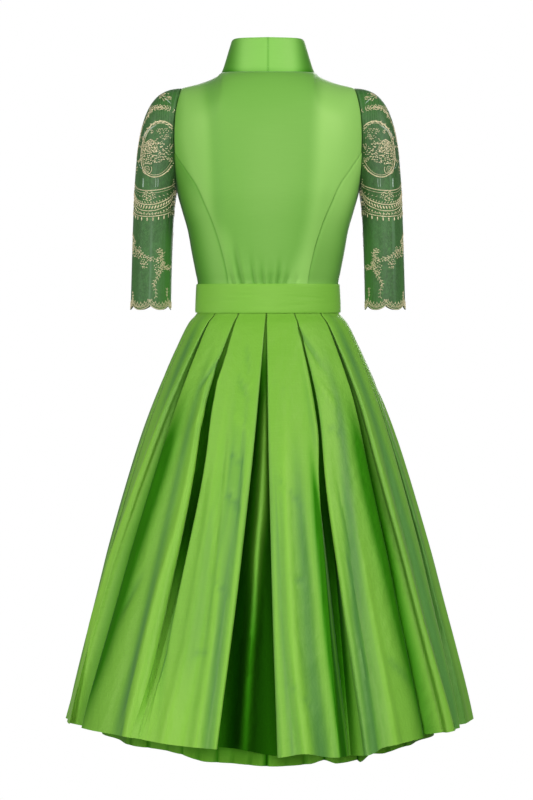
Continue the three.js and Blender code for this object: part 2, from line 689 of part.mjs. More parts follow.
function underskirtGrid(fromTurn, toTurn) {
  const outline = [...skirtRows].reverse();
  const gapTurn = seamGap / 2 / 110 / degrees;
  return underskirtShares
    .map((share) => {
      const z = mix(skirtTopZ, underskirt.hemZ, share);
      const half = read(outline, "half", Math.max(z, skirtHemZ), "z");
      const deepest = Math.max(...pleatRows.map((row) => alongSkirt(row.depth, share)));
      const inset = deepest + mix(underskirt.clear, underskirt.hemClear, share ** 0.6);
      return shares(underskirt.columns / 2).map((step) => {
        const turn = mix(fromTurn + gapTurn, toTurn - gapTurn, step);
        const wave = 0.5 - 0.5 * Math.cos(underskirt.waves * turn * degrees);
        const drop = read(underskirtDropRows, "drop", ((turn + 540) % 360) - 180, "turn");
        return ovalPoint(half, turn, 0, inset + underskirt.waveDepth * wave * share, z - drop * share);
      });
    })
    .reverse();
}

function makeUnderskirt() {
  addPiece("underskirt_back", clothWall(underskirtGrid(-90, 90), taffeta / 2, -taffeta / 2), colours.taffeta);
  addPiece("underskirt_front", clothWall(underskirtGrid(90, 270), taffeta / 2, -taffeta / 2), colours.taffeta);
}

makeBodice();
makeFrontOpening();
makeCollar();
makeBelt();
makeSleeves();
makeSkirt();
makeUnderskirt();

export default dress;
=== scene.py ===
# A worn dirndl dress with nobody in it: shot taffeta bodice, belt and pleated skirt, and sleeves of
# embroidered net. The wearer faces +Y, so the dress's back faces -Y. Tables and sizes are in millimetres.
# Turns are degrees from the middle of the back, + towards +X, unless a note says otherwise.
import math
import bpy
import numpy as np
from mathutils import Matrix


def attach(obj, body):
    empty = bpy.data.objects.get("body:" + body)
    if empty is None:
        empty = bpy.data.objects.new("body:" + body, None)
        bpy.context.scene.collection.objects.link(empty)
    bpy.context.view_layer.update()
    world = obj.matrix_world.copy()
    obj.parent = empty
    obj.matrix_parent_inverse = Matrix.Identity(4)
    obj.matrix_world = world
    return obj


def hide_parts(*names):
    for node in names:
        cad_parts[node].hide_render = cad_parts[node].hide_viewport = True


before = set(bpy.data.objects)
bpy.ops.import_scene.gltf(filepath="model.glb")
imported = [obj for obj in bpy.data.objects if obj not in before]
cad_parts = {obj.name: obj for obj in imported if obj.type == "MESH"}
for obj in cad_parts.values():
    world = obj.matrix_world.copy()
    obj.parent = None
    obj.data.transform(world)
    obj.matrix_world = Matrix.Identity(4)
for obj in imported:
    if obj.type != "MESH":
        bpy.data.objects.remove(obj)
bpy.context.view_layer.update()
pi = math.pi
fine = 1   # how closely grids are sampled

# camera and studio
view = {"distance": 4.0, "height": -0.394, "aside": -0.0026, "tiltDown": 2.5, "lens": 102.87}
cameraData = bpy.data.cameras.new("camera")
cameraData.sensor_fit = "VERTICAL"
cameraData.sensor_height = 36
cameraData.lens = view["lens"]
camera = bpy.data.objects.new("camera", cameraData)
camera.location = (view["aside"], -view["distance"], view["height"])
camera.rotation_euler = (math.radians(90 - view["tiltDown"]), 0, 0)
bpy.context.collection.objects.link(camera)
bpy.context.scene.camera = camera
bpy.context.scene.view_settings.view_transform = "Standard"

studio = {
    "ambient": 0.16,       # what the white room gives back
    "floorZ": -1.5,
    "lights": [            # name, place, aim, width, height, power
        ("frontLight", (0.1, -4.6, -0.45), (0, 0, -0.7), 2.6, 2.6, 126),
        ("keyLight", (2.7, -2.3, 1.3), (0.1, 0, -0.2), 0.9, 1.5, 74),
        ("leftLight", (-2.8, -2.3, 1.3), (-0.1, 0, -0.2), 0.8, 1.5, 46),
        ("flankLight", (-2.6, -0.9, -1.0), (-0.3, 0, -0.92), 0.5, 0.9, 15),
        ("farLight", (0.4, 4.0, 0.6), (0, 0, -0.5), 2.4, 2.4, 80),
    ],
}


def paleStudio(tree, outKind, shaderKind):
    # White where the camera looks at it, and a dimmer white as a light on the dress.
    tree.nodes.clear()
    kinds = (outKind, "ShaderNodeLightPath", "ShaderNodeMixShader", shaderKind, shaderKind)
    out, seen, chosen, dim, bright = (tree.nodes.new(kind) for kind in kinds)
    for node, strength in ((dim, studio["ambient"]), (bright, 1.0)):
        node.inputs["Color"].default_value = (1, 1, 1, 1)
        node.inputs["Strength"].default_value = strength
    tree.links.new(seen.outputs["Is Camera Ray"], chosen.inputs[0])
    tree.links.new(dim.outputs[0], chosen.inputs[1])
    tree.links.new(bright.outputs[0], chosen.inputs[2])
    tree.links.new(chosen.outputs[0], out.inputs["Surface"])


def aimedLight(name, place, aim, wide, tall, power):
    # A rectangle of light that looks from `place` at `aim`.
    data = bpy.data.lights.new(name, "AREA")
    data.shape = "RECTANGLE"
    data.size = wide
    data.size_y = tall
    data.energy = power
    light = bpy.data.objects.new(name, data)
    light.location = place
    away = np.array(place) - np.array(aim)
    tilt = math.atan2(np.hypot(away[0], away[1]), away[2])
    light.rotation_euler = (tilt, 0, math.atan2(away[0], -away[1]))
    bpy.context.collection.objects.link(light)


world = bpy.data.worlds.new("studio")
bpy.context.scene.world = world
world.use_nodes = True
paleStudio(world.node_tree, "ShaderNodeOutputWorld", "ShaderNodeBackground")
for row in studio["lights"]:
    aimedLight(*row)


# materials
class Recipe:
    # A material being made: add() puts in a node and sets or links its inputs by name.

    def __init__(self, name):
        self.material = bpy.data.materials.new(name)
        self.material.use_nodes = True
        self.tree = self.material.node_tree
        self.tree.nodes.clear()
        self.out = self.tree.nodes.new("ShaderNodeOutputMaterial")
        self.uv = self.add("ShaderNodeUVMap", uv_map="cloth").outputs["UV"]
        self.place = self.add("ShaderNodeTexCoord").outputs["Object"]

    def add(self, kind, inputs=None, **settings):
        node = self.tree.nodes.new(kind)
        for key, value in settings.items():
            setattr(node, key, value)
        for key, value in (inputs or {}).items():
            self.fill(node.inputs[key], value)
        return node

    def fill(self, socket, value):
        if isinstance(value, bpy.types.NodeSocket):
            self.tree.links.new(value, socket)
        else:
            socket.default_value = value

    def noise(self, coordinates, scale, detail, roughness):
        # Noise on coordinates stretched by scale.
        stretched = self.add("ShaderNodeMapping", {"Vector": coordinates, "Scale": scale}).outputs[0]
        inputs = {"Vector": stretched, "Scale": 1.0, "Detail": detail, "Roughness": roughness}
        return self.add("ShaderNodeTexNoise", inputs).outputs["Fac"]

    def blend(self, factor, low, high, fromValue=0.0, toValue=1.0):
        # Colour that goes from low to high as factor goes from fromValue to toValue.
        limits = {"Value": factor, "From Min": fromValue, "From Max": toValue}
        share = self.add("ShaderNodeMapRange", limits).outputs[0]
        mixed = self.add("ShaderNodeMix", {"Factor": share}, data_type="RGBA")
        sockets = [s for s in mixed.inputs if s.type == "RGBA"]
        for socket, value in zip(sockets, (low, high)):
            self.fill(socket, (*value, 1) if isinstance(value, tuple) else value)
        return [s for s in mixed.outputs if s.type == "RGBA"][0]

    def sum(self, *parts):
        # Weighted sum of heights: parts are (socket, weight).
        total = None
        for socket, weight in parts:
            term = self.add("ShaderNodeMath", {0: socket, 1: weight}, operation="MULTIPLY").outputs[0]
            if total is not None:
                term = self.add("ShaderNodeMath", {0: total, 1: term}, operation="ADD").outputs[0]
            total = term
        return total

    def attribute(self, name):
        return self.add("ShaderNodeAttribute", attribute_name=name).outputs["Fac"]

    def bump(self, height, strength, distance, **more):
        inputs = {"Height": height, "Strength": strength, "Distance": distance, **more}
        return self.add("ShaderNodeBump", inputs).outputs[0]

    def finish(self, inputs):
        shader = self.add("ShaderNodeBsdfPrincipled", inputs)
        self.tree.links.new(shader.outputs[0], self.out.inputs["Surface"])
        return self.material


def times(colour, factors):
    return tuple(a * b for a, b in zip(colour, factors))


taffeta = {  # what the dress's green taffetas share
    "paintedGreySheen": (0.075, 0.24, 0.045),      # painted grey sheen and shade, where a fold turns the cloth sideways
    "inFold": (0.16, 0.50, 0.004),        # times the weft: painted shade inside a fold, the green light that comes back from it
    "glossTint": (0.95, 0.92, 0.55, 1),
    "sheenTint": (0.74, 0.72, 0.80, 1),
    "weaveDepth": 0.0005, "crumpleDepth": 0.02,   # metres
    "slub": ((26, 900, 1), 4.0, 0.6),     # noises: scale on the cloth or in the room, detail, roughness
    "fineSlub": ((120, 2600, 1), 2.0, 0.5), "warpLines": ((1900, 60, 1), 2.0, 0.5),
    "drift": ((4.0, 4.0, 2.0), 3.0, 0.5), "dents": ((13, 13, 7), 2.5, 0.45),
    "crinkles": ((46, 46, 30), 3.0, 0.6),
}
taffetas = {  # colours, `deep` the painted shade of the deepest fold, then roughness, sheen, slubs, gloss, crumple, and what the weft is multiplied by in painted highlight bands
    "bodiceTaffeta": {
        "warp": (0.145, 0.385, 0.054), "weft": (0.157, 0.400, 0.060), "deep": (0.010, 0.06, 0.001),
        "rough": 0.50, "sheen": 0.25, "slubs": 0.35, "gloss": 0.45, "crumple": 0.06, "lit": (2.0, 1.55, 2.3)},
    # lighter than the bodice's cloth: partly its own stiffer satin, partly painted light where the collar
    # tilts up to the lamps
    "collarTaffeta": {
        "warp": (0.205, 0.505, 0.085), "weft": (0.218, 0.520, 0.092), "deep": (0.010, 0.07, 0.001),
        "rough": 0.52, "sheen": 0.20, "slubs": 0.35, "gloss": 0.35, "crumple": 0.0, "lit": (1.3, 1.2, 1.2)},
    "skirtTaffeta": {
        "warp": (0.160, 0.407, 0.033), "weft": (0.174, 0.427, 0.040), "deep": (0.004, 0.045, 0.0004),
        "rough": 0.50, "sheen": 0.12, "slubs": 0.6, "gloss": 0.5, "crumple": 0.44, "lit": (1.3, 1.2, 1.2)},
    "beltTaffeta": {
        "warp": (0.170, 0.425, 0.042), "weft": (0.184, 0.445, 0.050), "deep": (0.01, 0.09, 0.001),
        "rough": 0.52, "sheen": 0.15, "slubs": 0.5, "gloss": 0.35, "crumple": 0.08, "lit": (1.3, 1.2, 1.2)},
    "underTaffeta": {
        "warp": (0.115, 0.350, 0.016), "weft": (0.130, 0.370, 0.020), "deep": (0.006, 0.05, 0.0005),
        "rough": 0.50, "sheen": 0.12, "slubs": 0.6, "gloss": 0.4, "crumple": 0.2, "lit": (1.3, 1.2, 1.2)},
}


def shotTaffeta(name):
    # Crisp plain weave of green warp with a yellower weft, whose colour is in its gloss. Slubs run
    # crosswise and the colour drifts softly. Light and shade are painted in by two attributes: `hollow`
    # is painted shade in folds and recesses, a deeper green made metallic and rough so that it loses its
    # gloss; `slope` above 0 paints a grey sheen and shade where a fold turns the cloth sideways, and below
    # 0 a brighter painted highlight.
    cloth = taffetas[name]
    weft, slubs = cloth["weft"], cloth["slubs"]
    r = Recipe(name)
    slub, fineSlub, warpLines = (r.noise(r.uv, *taffeta[k]) for k in ("slub", "fineSlub", "warpLines"))
    drift, dents, crinkles = (r.noise(r.place, *taffeta[k]) for k in ("drift", "dents", "crinkles"))
    hollow, slope = r.attribute("hollow"), r.attribute("slope")
    ground = r.blend(drift, cloth["warp"], weft, 0.3, 0.72)
    paler = tuple((1 + 0.16 * slubs) * c + 0.006 * slubs for c in weft)
    threads = r.blend(slub, ground, paler, 0.50, 0.88)
    # painted highlight: the weft made brighter where slope is below 0
    brighter = r.blend(slope, times(weft, cloth["lit"]), threads, -1.0, 0.0)
    # painted grey sheen and shade where slope is above 0
    turned = r.blend(slope, brighter, taffeta["paintedGreySheen"])
    # painted shade inside folds: a deeper green, and at the deepest the `deep` colour
    inside = r.blend(hollow, turned, times(weft, taffeta["inFold"]), 0.0, 0.75)
    colour = r.blend(hollow, inside, cloth["deep"], 0.75, 1.0)
    # rougher where shade is painted, and metallic there below, so that its white gloss fades
    rough = r.add("ShaderNodeMapRange", {
        "Value": r.sum((fineSlub, 0.35), (hollow, 1.0)), "From Max": 1.2,
        "To Min": cloth["rough"] - 0.04, "To Max": 0.75,
    }).outputs[0]
    crumple = r.bump(r.sum((dents, 0.78), (crinkles, 0.22)), cloth["crumple"], taffeta["crumpleDepth"])
    weave = r.sum((slub, 0.5), (fineSlub, 0.3), (warpLines, 0.2))
    bump = r.bump(weave, 0.08 * slubs, taffeta["weaveDepth"], Normal=crumple)
    return r.finish({
        "Base Color": colour, "Roughness": rough, "Normal": bump, "Specular IOR Level": cloth["gloss"],
        "Specular Tint": taffeta["glossTint"], "Metallic": hollow, "Sheen Weight": cloth["sheen"],
        "Sheen Roughness": 0.3, "Sheen Tint": taffeta["sheenTint"],
    })


satinNet = {  # colours, then noises as above, and how many cells of net a metre has
    "ground": (0.008, 0.050, 0.006), "lighter": (0.022, 0.115, 0.014), "grain": (0.050, 0.195, 0.035),
    # painted light among these: `turned` a brighter, lit green; `shade` painted shade; the streaks' colour
    # painted sheen
    "turned": (0.042, 0.250, 0.010), "shade": (0.008, 0.034, 0.008), "sheenStreak": (0.150, 0.270, 0.160),
    "net": (0.075, 0.165, 0.055),
    "streaks": ((55, 2.2, 1), 3.0, 0.6), "broadStreaks": ((14, 1.2, 1), 2.0, 0.5),
    "drift": ((16, 16, 5), 2.0, 0.5), "specks": ((260, 260, 170), 3.0, 0.7), "cells": 620,
}


def netOverSatin(name):
    # Dark green net over its ground: a mesh of pale hexagons too fine to cut, and lengthwise streaks
    # of painted sheen. `hollow` paints shade on it and `slope` paints a brighter, lit green.
    r = Recipe(name)
    streaks, broad = (r.noise(r.uv, *satinNet[k]) for k in ("streaks", "broadStreaks"))
    drift, grain = (r.noise(r.place, *satinNet[k]) for k in ("drift", "specks"))
    satin = r.blend(drift, satinNet["ground"], satinNet["lighter"], 0.36, 0.64)
    satin = r.blend(grain, satin, satinNet["grain"], 0.42, 0.72)
    satin = r.blend(r.attribute("slope"), satin, satinNet["turned"])
    satin = r.blend(r.attribute("hollow"), satin, satinNet["shade"])
    satin = r.blend(r.sum((streaks, 0.6), (broad, 0.4)), satin, satinNet["sheenStreak"], 0.54, 0.74)
    scale = (satinNet["cells"], satinNet["cells"], 1)
    netCells = r.add("ShaderNodeMapping", {"Vector": r.uv, "Scale": scale}).outputs[0]
    cells = {"Vector": netCells, "Scale": 1.0, "Randomness": 0.12}
    net = r.add("ShaderNodeTexVoronoi", cells, feature="DISTANCE_TO_EDGE").outputs["Distance"]
    return r.finish({
        "Base Color": r.blend(net, satinNet["net"], satin, 0.03, 0.2), "Roughness": 0.5,
        "Normal": r.bump(r.sum((net, -0.6), (streaks, 0.4)), 0.3, 0.0006), "Specular IOR Level": 0.35,
        "Sheen Weight": 0.12, "Sheen Roughness": 0.4, "Sheen Tint": (0.7, 0.8, 0.72, 1),
    })


def metalThread(name, pale, dark):
    # Twisted metallic embroidery thread: short strands across each line, lighter and darker, the gold's own
    # strands with painted shade in the twist between them and painted glints in patches.
    r = Recipe(name)
    strands = r.noise(r.place, (900, 900, 700), 2.0, 0.6)
    tone = r.noise(r.place, (60, 60, 60), 2.0, 0.5)
    glint = r.blend(tone, pale, tuple(1.15 * c for c in pale), 0.35, 0.7)
    return r.finish({
        "Base Color": r.blend(strands, dark, glint, 0.36, 0.62), "Roughness": 0.5, "Metallic": 0.15,
        "Normal": r.bump(strands, 0.5, 0.0004), "Sheen Weight": 0.2,
    })


bodiceTaffeta = shotTaffeta("bodiceTaffeta")
collarTaffeta = shotTaffeta("collarTaffeta")
skirtTaffeta = shotTaffeta("skirtTaffeta")
beltTaffeta = shotTaffeta("beltTaffeta")
underTaffeta = shotTaffeta("underTaffeta")
sleeveNet = netOverSatin("sleeveNet")
embroideryGold = metalThread("embroideryGold", (0.82, 0.71, 0.46), (0.36, 0.30, 0.15))
embroideryPale = metalThread("embroideryPale", (0.34, 0.45, 0.36), (0.17, 0.26, 0.18))


# surfaces
def smooth(table, by, key, at):
    # A column of the table, read on a cubic through its rows that never overshoots: the slope at
    # a row is the harmonic mean of the rises beside it, and 0 where they differ in sign.
    x, y = np.array(table[by], float), np.array(table[key], float)
    at = np.clip(np.asarray(at, float), x[0], x[-1])
    rise = np.diff(y) / np.diff(x)
    a, b = rise[:-1], rise[1:]
    inner = np.where(a * b > 0, 2 * a * b / np.where(a * b > 0, a + b, 1), 0)
    slope = np.concatenate([rise[:1], inner, rise[-1:]])
    i = np.clip(np.searchsorted(x, at, side="right") - 1, 0, len(x) - 2)
    width = x[i + 1] - x[i]
    t = (at - x[i]) / width
    return ((2 * t**3 - 3 * t**2 + 1) * y[i] + (t**3 - 2 * t**2 + t) * width * slope[i]
            + (3 * t**2 - 2 * t**3) * y[i + 1] + (t**3 - t**2) * width * slope[i + 1])


def step(value, low, high):
    # 0 below low, 1 above high, and 3t^2 - 2t^3 between.
    t = np.clip((value - low) / (high - low), 0, 1)
    return t * t * (3 - 2 * t)


def mix(a, b, t):
    # From a to b as t goes from 0 to 1.
    return a + (b - a) * t


def bell(distance, width):
    # exp(-(distance / width)^2)
    return np.exp(-((distance / width) ** 2))


def between(value, low, high, soft, softEnd=None):
    # 1 between low and high, with soft ends inside them.
    return step(value, low, low + soft) * (1 - step(value, high - (softEnd or soft), high))


def columnsOf(table, *keys):
    # The rows of a table given by columns.
    return zip(*(table[key] for key in keys))


def turnApart(turn, other):
    # Degrees between two turns, from -180 to 180.
    return (turn - other + 180) % 360 - 180


def arcLength(points):
    # How far along a line of points each of them is.
    return np.concatenate([[0], np.cumsum(np.linalg.norm(np.diff(points, axis=0), axis=1))])


def normalsOf(grid, around=False):
    # Unit cross product of the steps along a row and up a column.
    across = np.roll(grid, -1, 1) - np.roll(grid, 1, 1) if around else np.gradient(grid, axis=1)
    normal = np.cross(across, np.gradient(grid, axis=0))
    return normal / np.maximum(np.linalg.norm(normal, axis=-1, keepdims=True), 1e-12)


def clothUv(grid):
    # Lengths along the middle row and up the middle column, in metres, so that weave keeps its scale.
    along = arcLength(grid[grid.shape[0] // 2]) / 1000
    up = arcLength(grid[:, grid.shape[1] // 2]) / 1000
    return np.stack(np.broadcast_arrays(along[None, :], up[:, None]), axis=-1)


def placeMesh(name, points, faces, uv, material, sharpAngle=50.0, shades=None):
    # A mesh in metres of points in millimetres, with a UV for each corner of each face.
    mesh = bpy.data.meshes.new(name)
    mesh.from_pydata((points / 1000).tolist(), [], faces)
    layer = mesh.uv_layers.new(name="cloth")
    layer.data.foreach_set("uv", uv.astype(np.float32).ravel())
    for key, values in (shades or {}).items():
        shade = mesh.attributes.new(key, "FLOAT", "POINT")
        shade.data.foreach_set("value", values.astype(np.float32).ravel())
    mesh.materials.append(material)
    mesh.polygons.foreach_set("use_smooth", np.ones(len(faces), bool))
    mesh.update()
    mesh.set_sharp_from_angle(angle=math.radians(sharpAngle))
    piece = bpy.data.objects.new(name, mesh)
    bpy.context.collection.objects.link(piece)
    return piece


def clothShell(name, grid, thick, material, around=False, shades=None):
    # A closed thin shell: the grid moved out and in by half the thickness, joined at its edges.
    high, wide = grid.shape[:2]
    normal = normalsOf(grid, around)
    points = np.concatenate([(grid + normal * way * thick / 2).reshape(-1, 3) for way in (1, -1)])
    uvGrid = clothUv(np.concatenate([grid, grid[:, :1]], axis=1) if around else grid)
    columns = wide if around else wide - 1

    def corner(side, row, column):
        row, column = np.broadcast_arrays(row, column)
        return side * high * wide + row * wide + column % wide, uvGrid[row, column]

    def quads(*corners):
        index = np.stack([c[0].ravel() for c in corners], axis=-1)
        uv = np.stack([c[1].reshape(-1, 2) for c in corners], axis=1)
        return index, uv

    def strip(side, row, column, across, along):
        # Quads from each corner on, by one step `across` the shell's side, row or column, then `along`.
        steps = ((0, 0, 0), across, tuple(a + b for a, b in zip(across, along)), along)
        return quads(*(corner(side + s, row + r, column + c) for s, r, c in steps))

    i, j = np.meshgrid(np.arange(high - 1), np.arange(columns), indexing="ij")
    ends, rows = np.arange(columns), np.arange(high - 1)
    parts = [
        strip(0, i, j, (0, 0, 1), (0, 1, 0)),
        strip(1, i, j, (0, 1, 0), (0, 0, 1)),
        strip(1, 0, ends, (0, 0, 1), (-1, 0, 0)),
        strip(0, high - 1, ends, (0, 0, 1), (1, 0, 0)),
    ]
    if not around:
        parts.append(strip(0, rows, 0, (0, 1, 0), (1, 0, 0)))
        parts.append(strip(1, rows, wide - 1, (0, 1, 0), (-1, 0, 0)))
    faces = np.concatenate([p[0] for p in parts])
    uv = np.concatenate([p[1] for p in parts])
    both = {key: np.tile(values.ravel(), 2) for key, values in (shades or {}).items()}
    return placeMesh(name, points, faces.tolist(), uv, material, shades=both)


def mirrored(grid):
    # The grid across x = 0, its columns turned round so that it still faces out.
    return grid[:, ::-1] * np.array([-1, 1, 1])


def sheetArea(grid, around=False):
    # Area of the middle surface in square metres, by the cross products of its cells.
    closed = np.concatenate([grid, grid[:, :1]], axis=1) if around else grid
    a = closed[1:, 1:] - closed[:-1, :-1]
    b = closed[1:, :-1] - closed[:-1, 1:]
    return float(np.linalg.norm(np.cross(a, b), axis=-1).sum() / 2e6)


def sewOn(node, grid, cut, flat=None, around=False, shades=None, shaped=True):
    # The node's cloth: a shell on the grid that rides on the dress and stands for the node. `area` is
    # worked out as that of a sheet cut from `flat` metres, or from less of it where it is shaped.
    piece = clothShell(node + "_cloth", grid, cut["thick"], cut["material"], around, shades)
    flat = flat or cut["flat"]
    area = min(sheetArea(grid, around), flat[0] * flat[1]) if shaped else None
    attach(piece, "root")
    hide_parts(node)


# bodice
neck = {"half": 81, "backDepth": 62, "napeDrop": 3, "pointZ": -165, "curve": 0.9}
bodice = {
    "bottom": -408, "roll": 75, "underarm": -205, "tip": 150, "radius": 110, "shoulderGap": 0.15,
    "seamGap": 0.16, "seamDip": 0.7, "seamWidth": 2.2,
    "thick": 0.8, "material": bodiceTaffeta, "slot": "bodice_taffeta", "held": "stretched",
}
bodiceCuts = {
    "back": (0.36, 0.44), "side_back": (0.14, 0.30), "side_front": (0.15, 0.30), "front": (0.20, 0.44),
}
torso = {  # level sections: half width, depths behind and before the side seam, its y, squareness
    "z":      [-408, -366, -345, -311, -274, -240, -205, -160, -110, -60, 10],
    "half":   [122.6, 122.8, 126.5, 133, 139.5, 149, 158.7, 168, 172, 172, 172],
    "back":   [90.6, 90.8, 94, 98, 102, 105, 107, 107, 105, 99, 92],
    "front":  [90.6, 90.8, 94, 103, 116, 125, 126, 116, 100, 86, 76],
    "centre": [8, 8, 7, 5, 3, 1, 0, 0, 0, 0, 0],
    "square": [2.0, 2.0, 2.02, 2.06, 2.1, 2.15, 2.2, 2.25, 2.3, 2.3, 2.3],
}
shoulder = {"x": [0, 81, 88, 102, 123, 148, 165], "z": [0, 0, -5.5, -12.5, -19.5, -25.5, -32]}
backSeam = {
    "z": [-408, -362, -308, -262, -229, -197, -171, -150, -138],
    "x": [66, 69, 80, 94.5, 108.5, 123, 140.8, 155, 162],
}
frontSeam = {"z": [-408, -362, -300, -240, -200, -165, -135], "x": [60, 63, 74, 86, 98, 118, 144]}
backArmhole = {
    "z": [-205, -190, -165, -138, -112, -78, -54, -36, -20],
    "x": [158.7, 159.3, 160.5, 161.5, 162, 160.5, 157, 153, 149],
}
frontArmhole = {
    "z": [-205, -190, -170, -140, -110, -80, -50, -20],
    "x": [158.7, 156, 151, 145, 142.5, 143, 146, 149.5],
}


def shoulderZ(x):
    # Height of the shoulder line at x from the middle.
    return smooth(shoulder, "x", "z", x)


def backTopZ(x):
    # The back's neck edge dips to the nape by drop * (1 - (x / half)^2), and beyond it is the shoulder.
    return np.where(x < neck["half"], -neck["napeDrop"] * (1 - (x / neck["half"]) ** 2), shoulderZ(x))


def backTopY(x):
    # Seen from above, the neck's back is an ellipse: y = -depth * sqrt(1 - (x / half)^2).
    return -neck["backDepth"] * np.sqrt(np.clip(1 - (x / neck["half"]) ** 2, 0, None))


def frontEdgeZ(x):
    # The V of the front: point * (1 - (x / half)^(1 / curve)), and beyond it the shoulder.
    share = np.clip(x / neck["half"], 0, 1)
    return np.where(x < neck["half"], neck["pointZ"] * (1 - share ** (1 / neck["curve"])), shoulderZ(x))


def torsoPoint(turn, z):
    # Superellipse section, x = half sin^(2/n), y = centre -+ depth cos^(2/n), drawn in to the
    # shoulder line over the last 75 mm by sqrt(1 - (1 - t)^2). turn 0 is the middle of the back, and
    # here it is in radians.
    turn, z = np.broadcast_arrays(np.asarray(turn, float), np.asarray(z, float))
    side, around = np.where(turn < 0, -1, 1), np.abs(turn)
    onBack = around <= pi / 2
    power = 2 / smooth(torso, "z", "square", z)
    x = smooth(torso, "z", "half", z) * np.sin(around) ** power
    deep = np.abs(np.cos(around)) ** power
    centre = smooth(torso, "z", "centre", z)
    behind, before = smooth(torso, "z", "back", z), smooth(torso, "z", "front", z)
    level = np.where(onBack, centre - behind * deep, centre + before * deep)
    topY = np.where(onBack, backTopY(x), 0)
    topZ = np.where(onBack, backTopZ(x), shoulderZ(x))
    below = np.clip((topZ - z) / bodice["roll"], 0, 1)
    return np.stack([side * x, topY + (level - topY) * np.sqrt(1 - (1 - below) ** 2), z], axis=-1)


def turnAt(x, z, onBack):
    # The turn, in radians, where the section is x from the middle: arcsin((x / half)^(n / 2)).
    share = np.clip(x / smooth(torso, "z", "half", z), 0, 1)
    turn = np.arcsin(share ** (smooth(torso, "z", "square", z) / 2))
    return turn if onBack else pi - turn


def seamTurn(seam, z, onBack):
    # The seam's turn by height. Above its end it is put at the side, past the armhole.
    return np.where(z > seam["z"][-1], pi / 2, turnAt(smooth(seam, "z", "x", z), z, onBack))


def armholeTurn(z, onBack):
    # The turn of the armhole's edge by height.
    return turnAt(smooth(backArmhole if onBack else frontArmhole, "z", "x", z), z, onBack)


def bodicePanel(near, far, inside, seamZ, share, rows, apart=0.0):
    # Grid between two seams: turn = mix(near(z), far(z), share), and every column runs evenly along
    # the cloth from the waist to where `inside` falls to 0. Over the roll towards the shoulder, which
    # is a quarter circle, the way down is roll * arccos(1 - below / roll). Also gives the heights.
    gap = bodice["seamGap"] / bodice["radius"]
    waist = np.full(share.shape, float(bodice["bottom"]))

    def turnOf(z):
        return mix(near(z) + gap, far(z) - gap, share)

    top, over = waist, np.full(share.shape, 4.0)
    for _ in range(40):   # halving between inside and over the edge
        middle = (top + over) / 2
        within = inside(turnOf(middle), middle) > 0
        top, over = np.where(within, middle, top), np.where(within, over, middle)
    roll = bodice["roll"]
    quarter = roll * pi / 2
    seam = seamZ(np.abs(torsoPoint(turnOf(top), top)[..., 0]))

    def downTo(z):
        below = np.maximum(seam - z, 0)
        overRoll = roll * np.arccos(1 - np.minimum(below, roll) / roll)
        return np.where(below < roll, overRoll, quarter + below - roll)

    down = mix(downTo(waist), downTo(top), np.linspace(0, 1, rows)[:, None])
    z = np.where(down < quarter, seam - roll * (1 - np.cos(down / roll)), seam - roll - (down - quarter))
    z[-1] = top
    grid = torsoPoint(turnOf(z), z)
    grid[..., 1] += apart * np.maximum(0, 1 - np.abs(grid[..., 1]) / 20)
    return grid, z


def dipSeams(grid, left=True, right=True):
    # Cloth sinks by seamDip beside a seam: dip exp(-(d / width)^2), d the distance from that edge.
    across = np.linalg.norm(np.diff(grid, axis=1), axis=-1)
    fromLeft = np.concatenate([np.zeros((grid.shape[0], 1)), np.cumsum(across, axis=1)], axis=1)
    fromRight = fromLeft[:, -1:] - fromLeft
    depth = left * bell(fromLeft, bodice["seamWidth"]) + right * bell(fromRight, bodice["seamWidth"])
    return grid - normalsOf(grid) * (bodice["seamDip"] * np.minimum(depth, 1))[..., None]


backGathers = {  # gathers above the belt: x there and at their upper end, height, width, depth (+ ridge)
    "x":     [-60, -53, -46, -37, -24, -17, -9, -2, 4, 10, 16, 23, 31, 47],
    "topX":  [-74, -62, -66, -58, -34, -24, -15, -5, 6, 15, 24, 32, 40, 56],
    "reach": [60, 34, 120, 100, 70, 46, 60, 40, 44, 56, 62, 40, 36, 30],
    "wide":  [3.2, 2.6, 4.4, 4.0, 3.2, 2.6, 3.0, 2.4, 2.6, 2.8, 3.0, 2.6, 2.8, 3.0],
    "deep":  [-1.6, 0.9, -2.6, 1.5, -2.2, 1.1, -2.2, 1.2, -1.9, 1.1, -2.3, 1.0, -1.5, -1.0],
}
backLightAndShade = {  # painted light on the back: its painted highlight bands, by height, where each starts and ends
    "z": [-400, -350, -298, -238, -168, -99, -47, 10],
    "rightFrom": [34, 42, 61, 73, 80, 83, 87, 92], "rightTo": [88, 94, 106, 124, 150, 190, 200, 200],
    "leftFrom": [-92, -94, -96, -118, -136, -150, -150, -150],
    "leftTo": [-66, -70, -74, -98, -100, -104, -116, -126],
    "rightSoft": (16, 14, 6, 16), "leftSoft": (12, 10, 8, 22),   # before and after where it starts and ends
    # how bright each highlight band is painted (below 0 is brighter), then painted shade in the gathers and
    # at both seams
    "right": -0.66, "left": -0.42, "gather": 0.20, "seamLeft": 0.34, "seamRight": 0.2,
    "greyX": -84, "greyWidth": 10, "grey": 0.20,   # a painted greyer, darker stripe beside the left band
}
backFolds = {  # soft drag lines on the back: x and z of both ends, width, height (+ out, - in)
    "x0": [-118, 112, -30, 24], "z0": [-150, -170, -60, -80],
    "x1": [-72, 66, -22, 30], "z1": [-330, -345, -200, -190],
    "wide": [20, 18, 26, 22], "high": [0.9, -1.1, 0.7, -0.6],
}


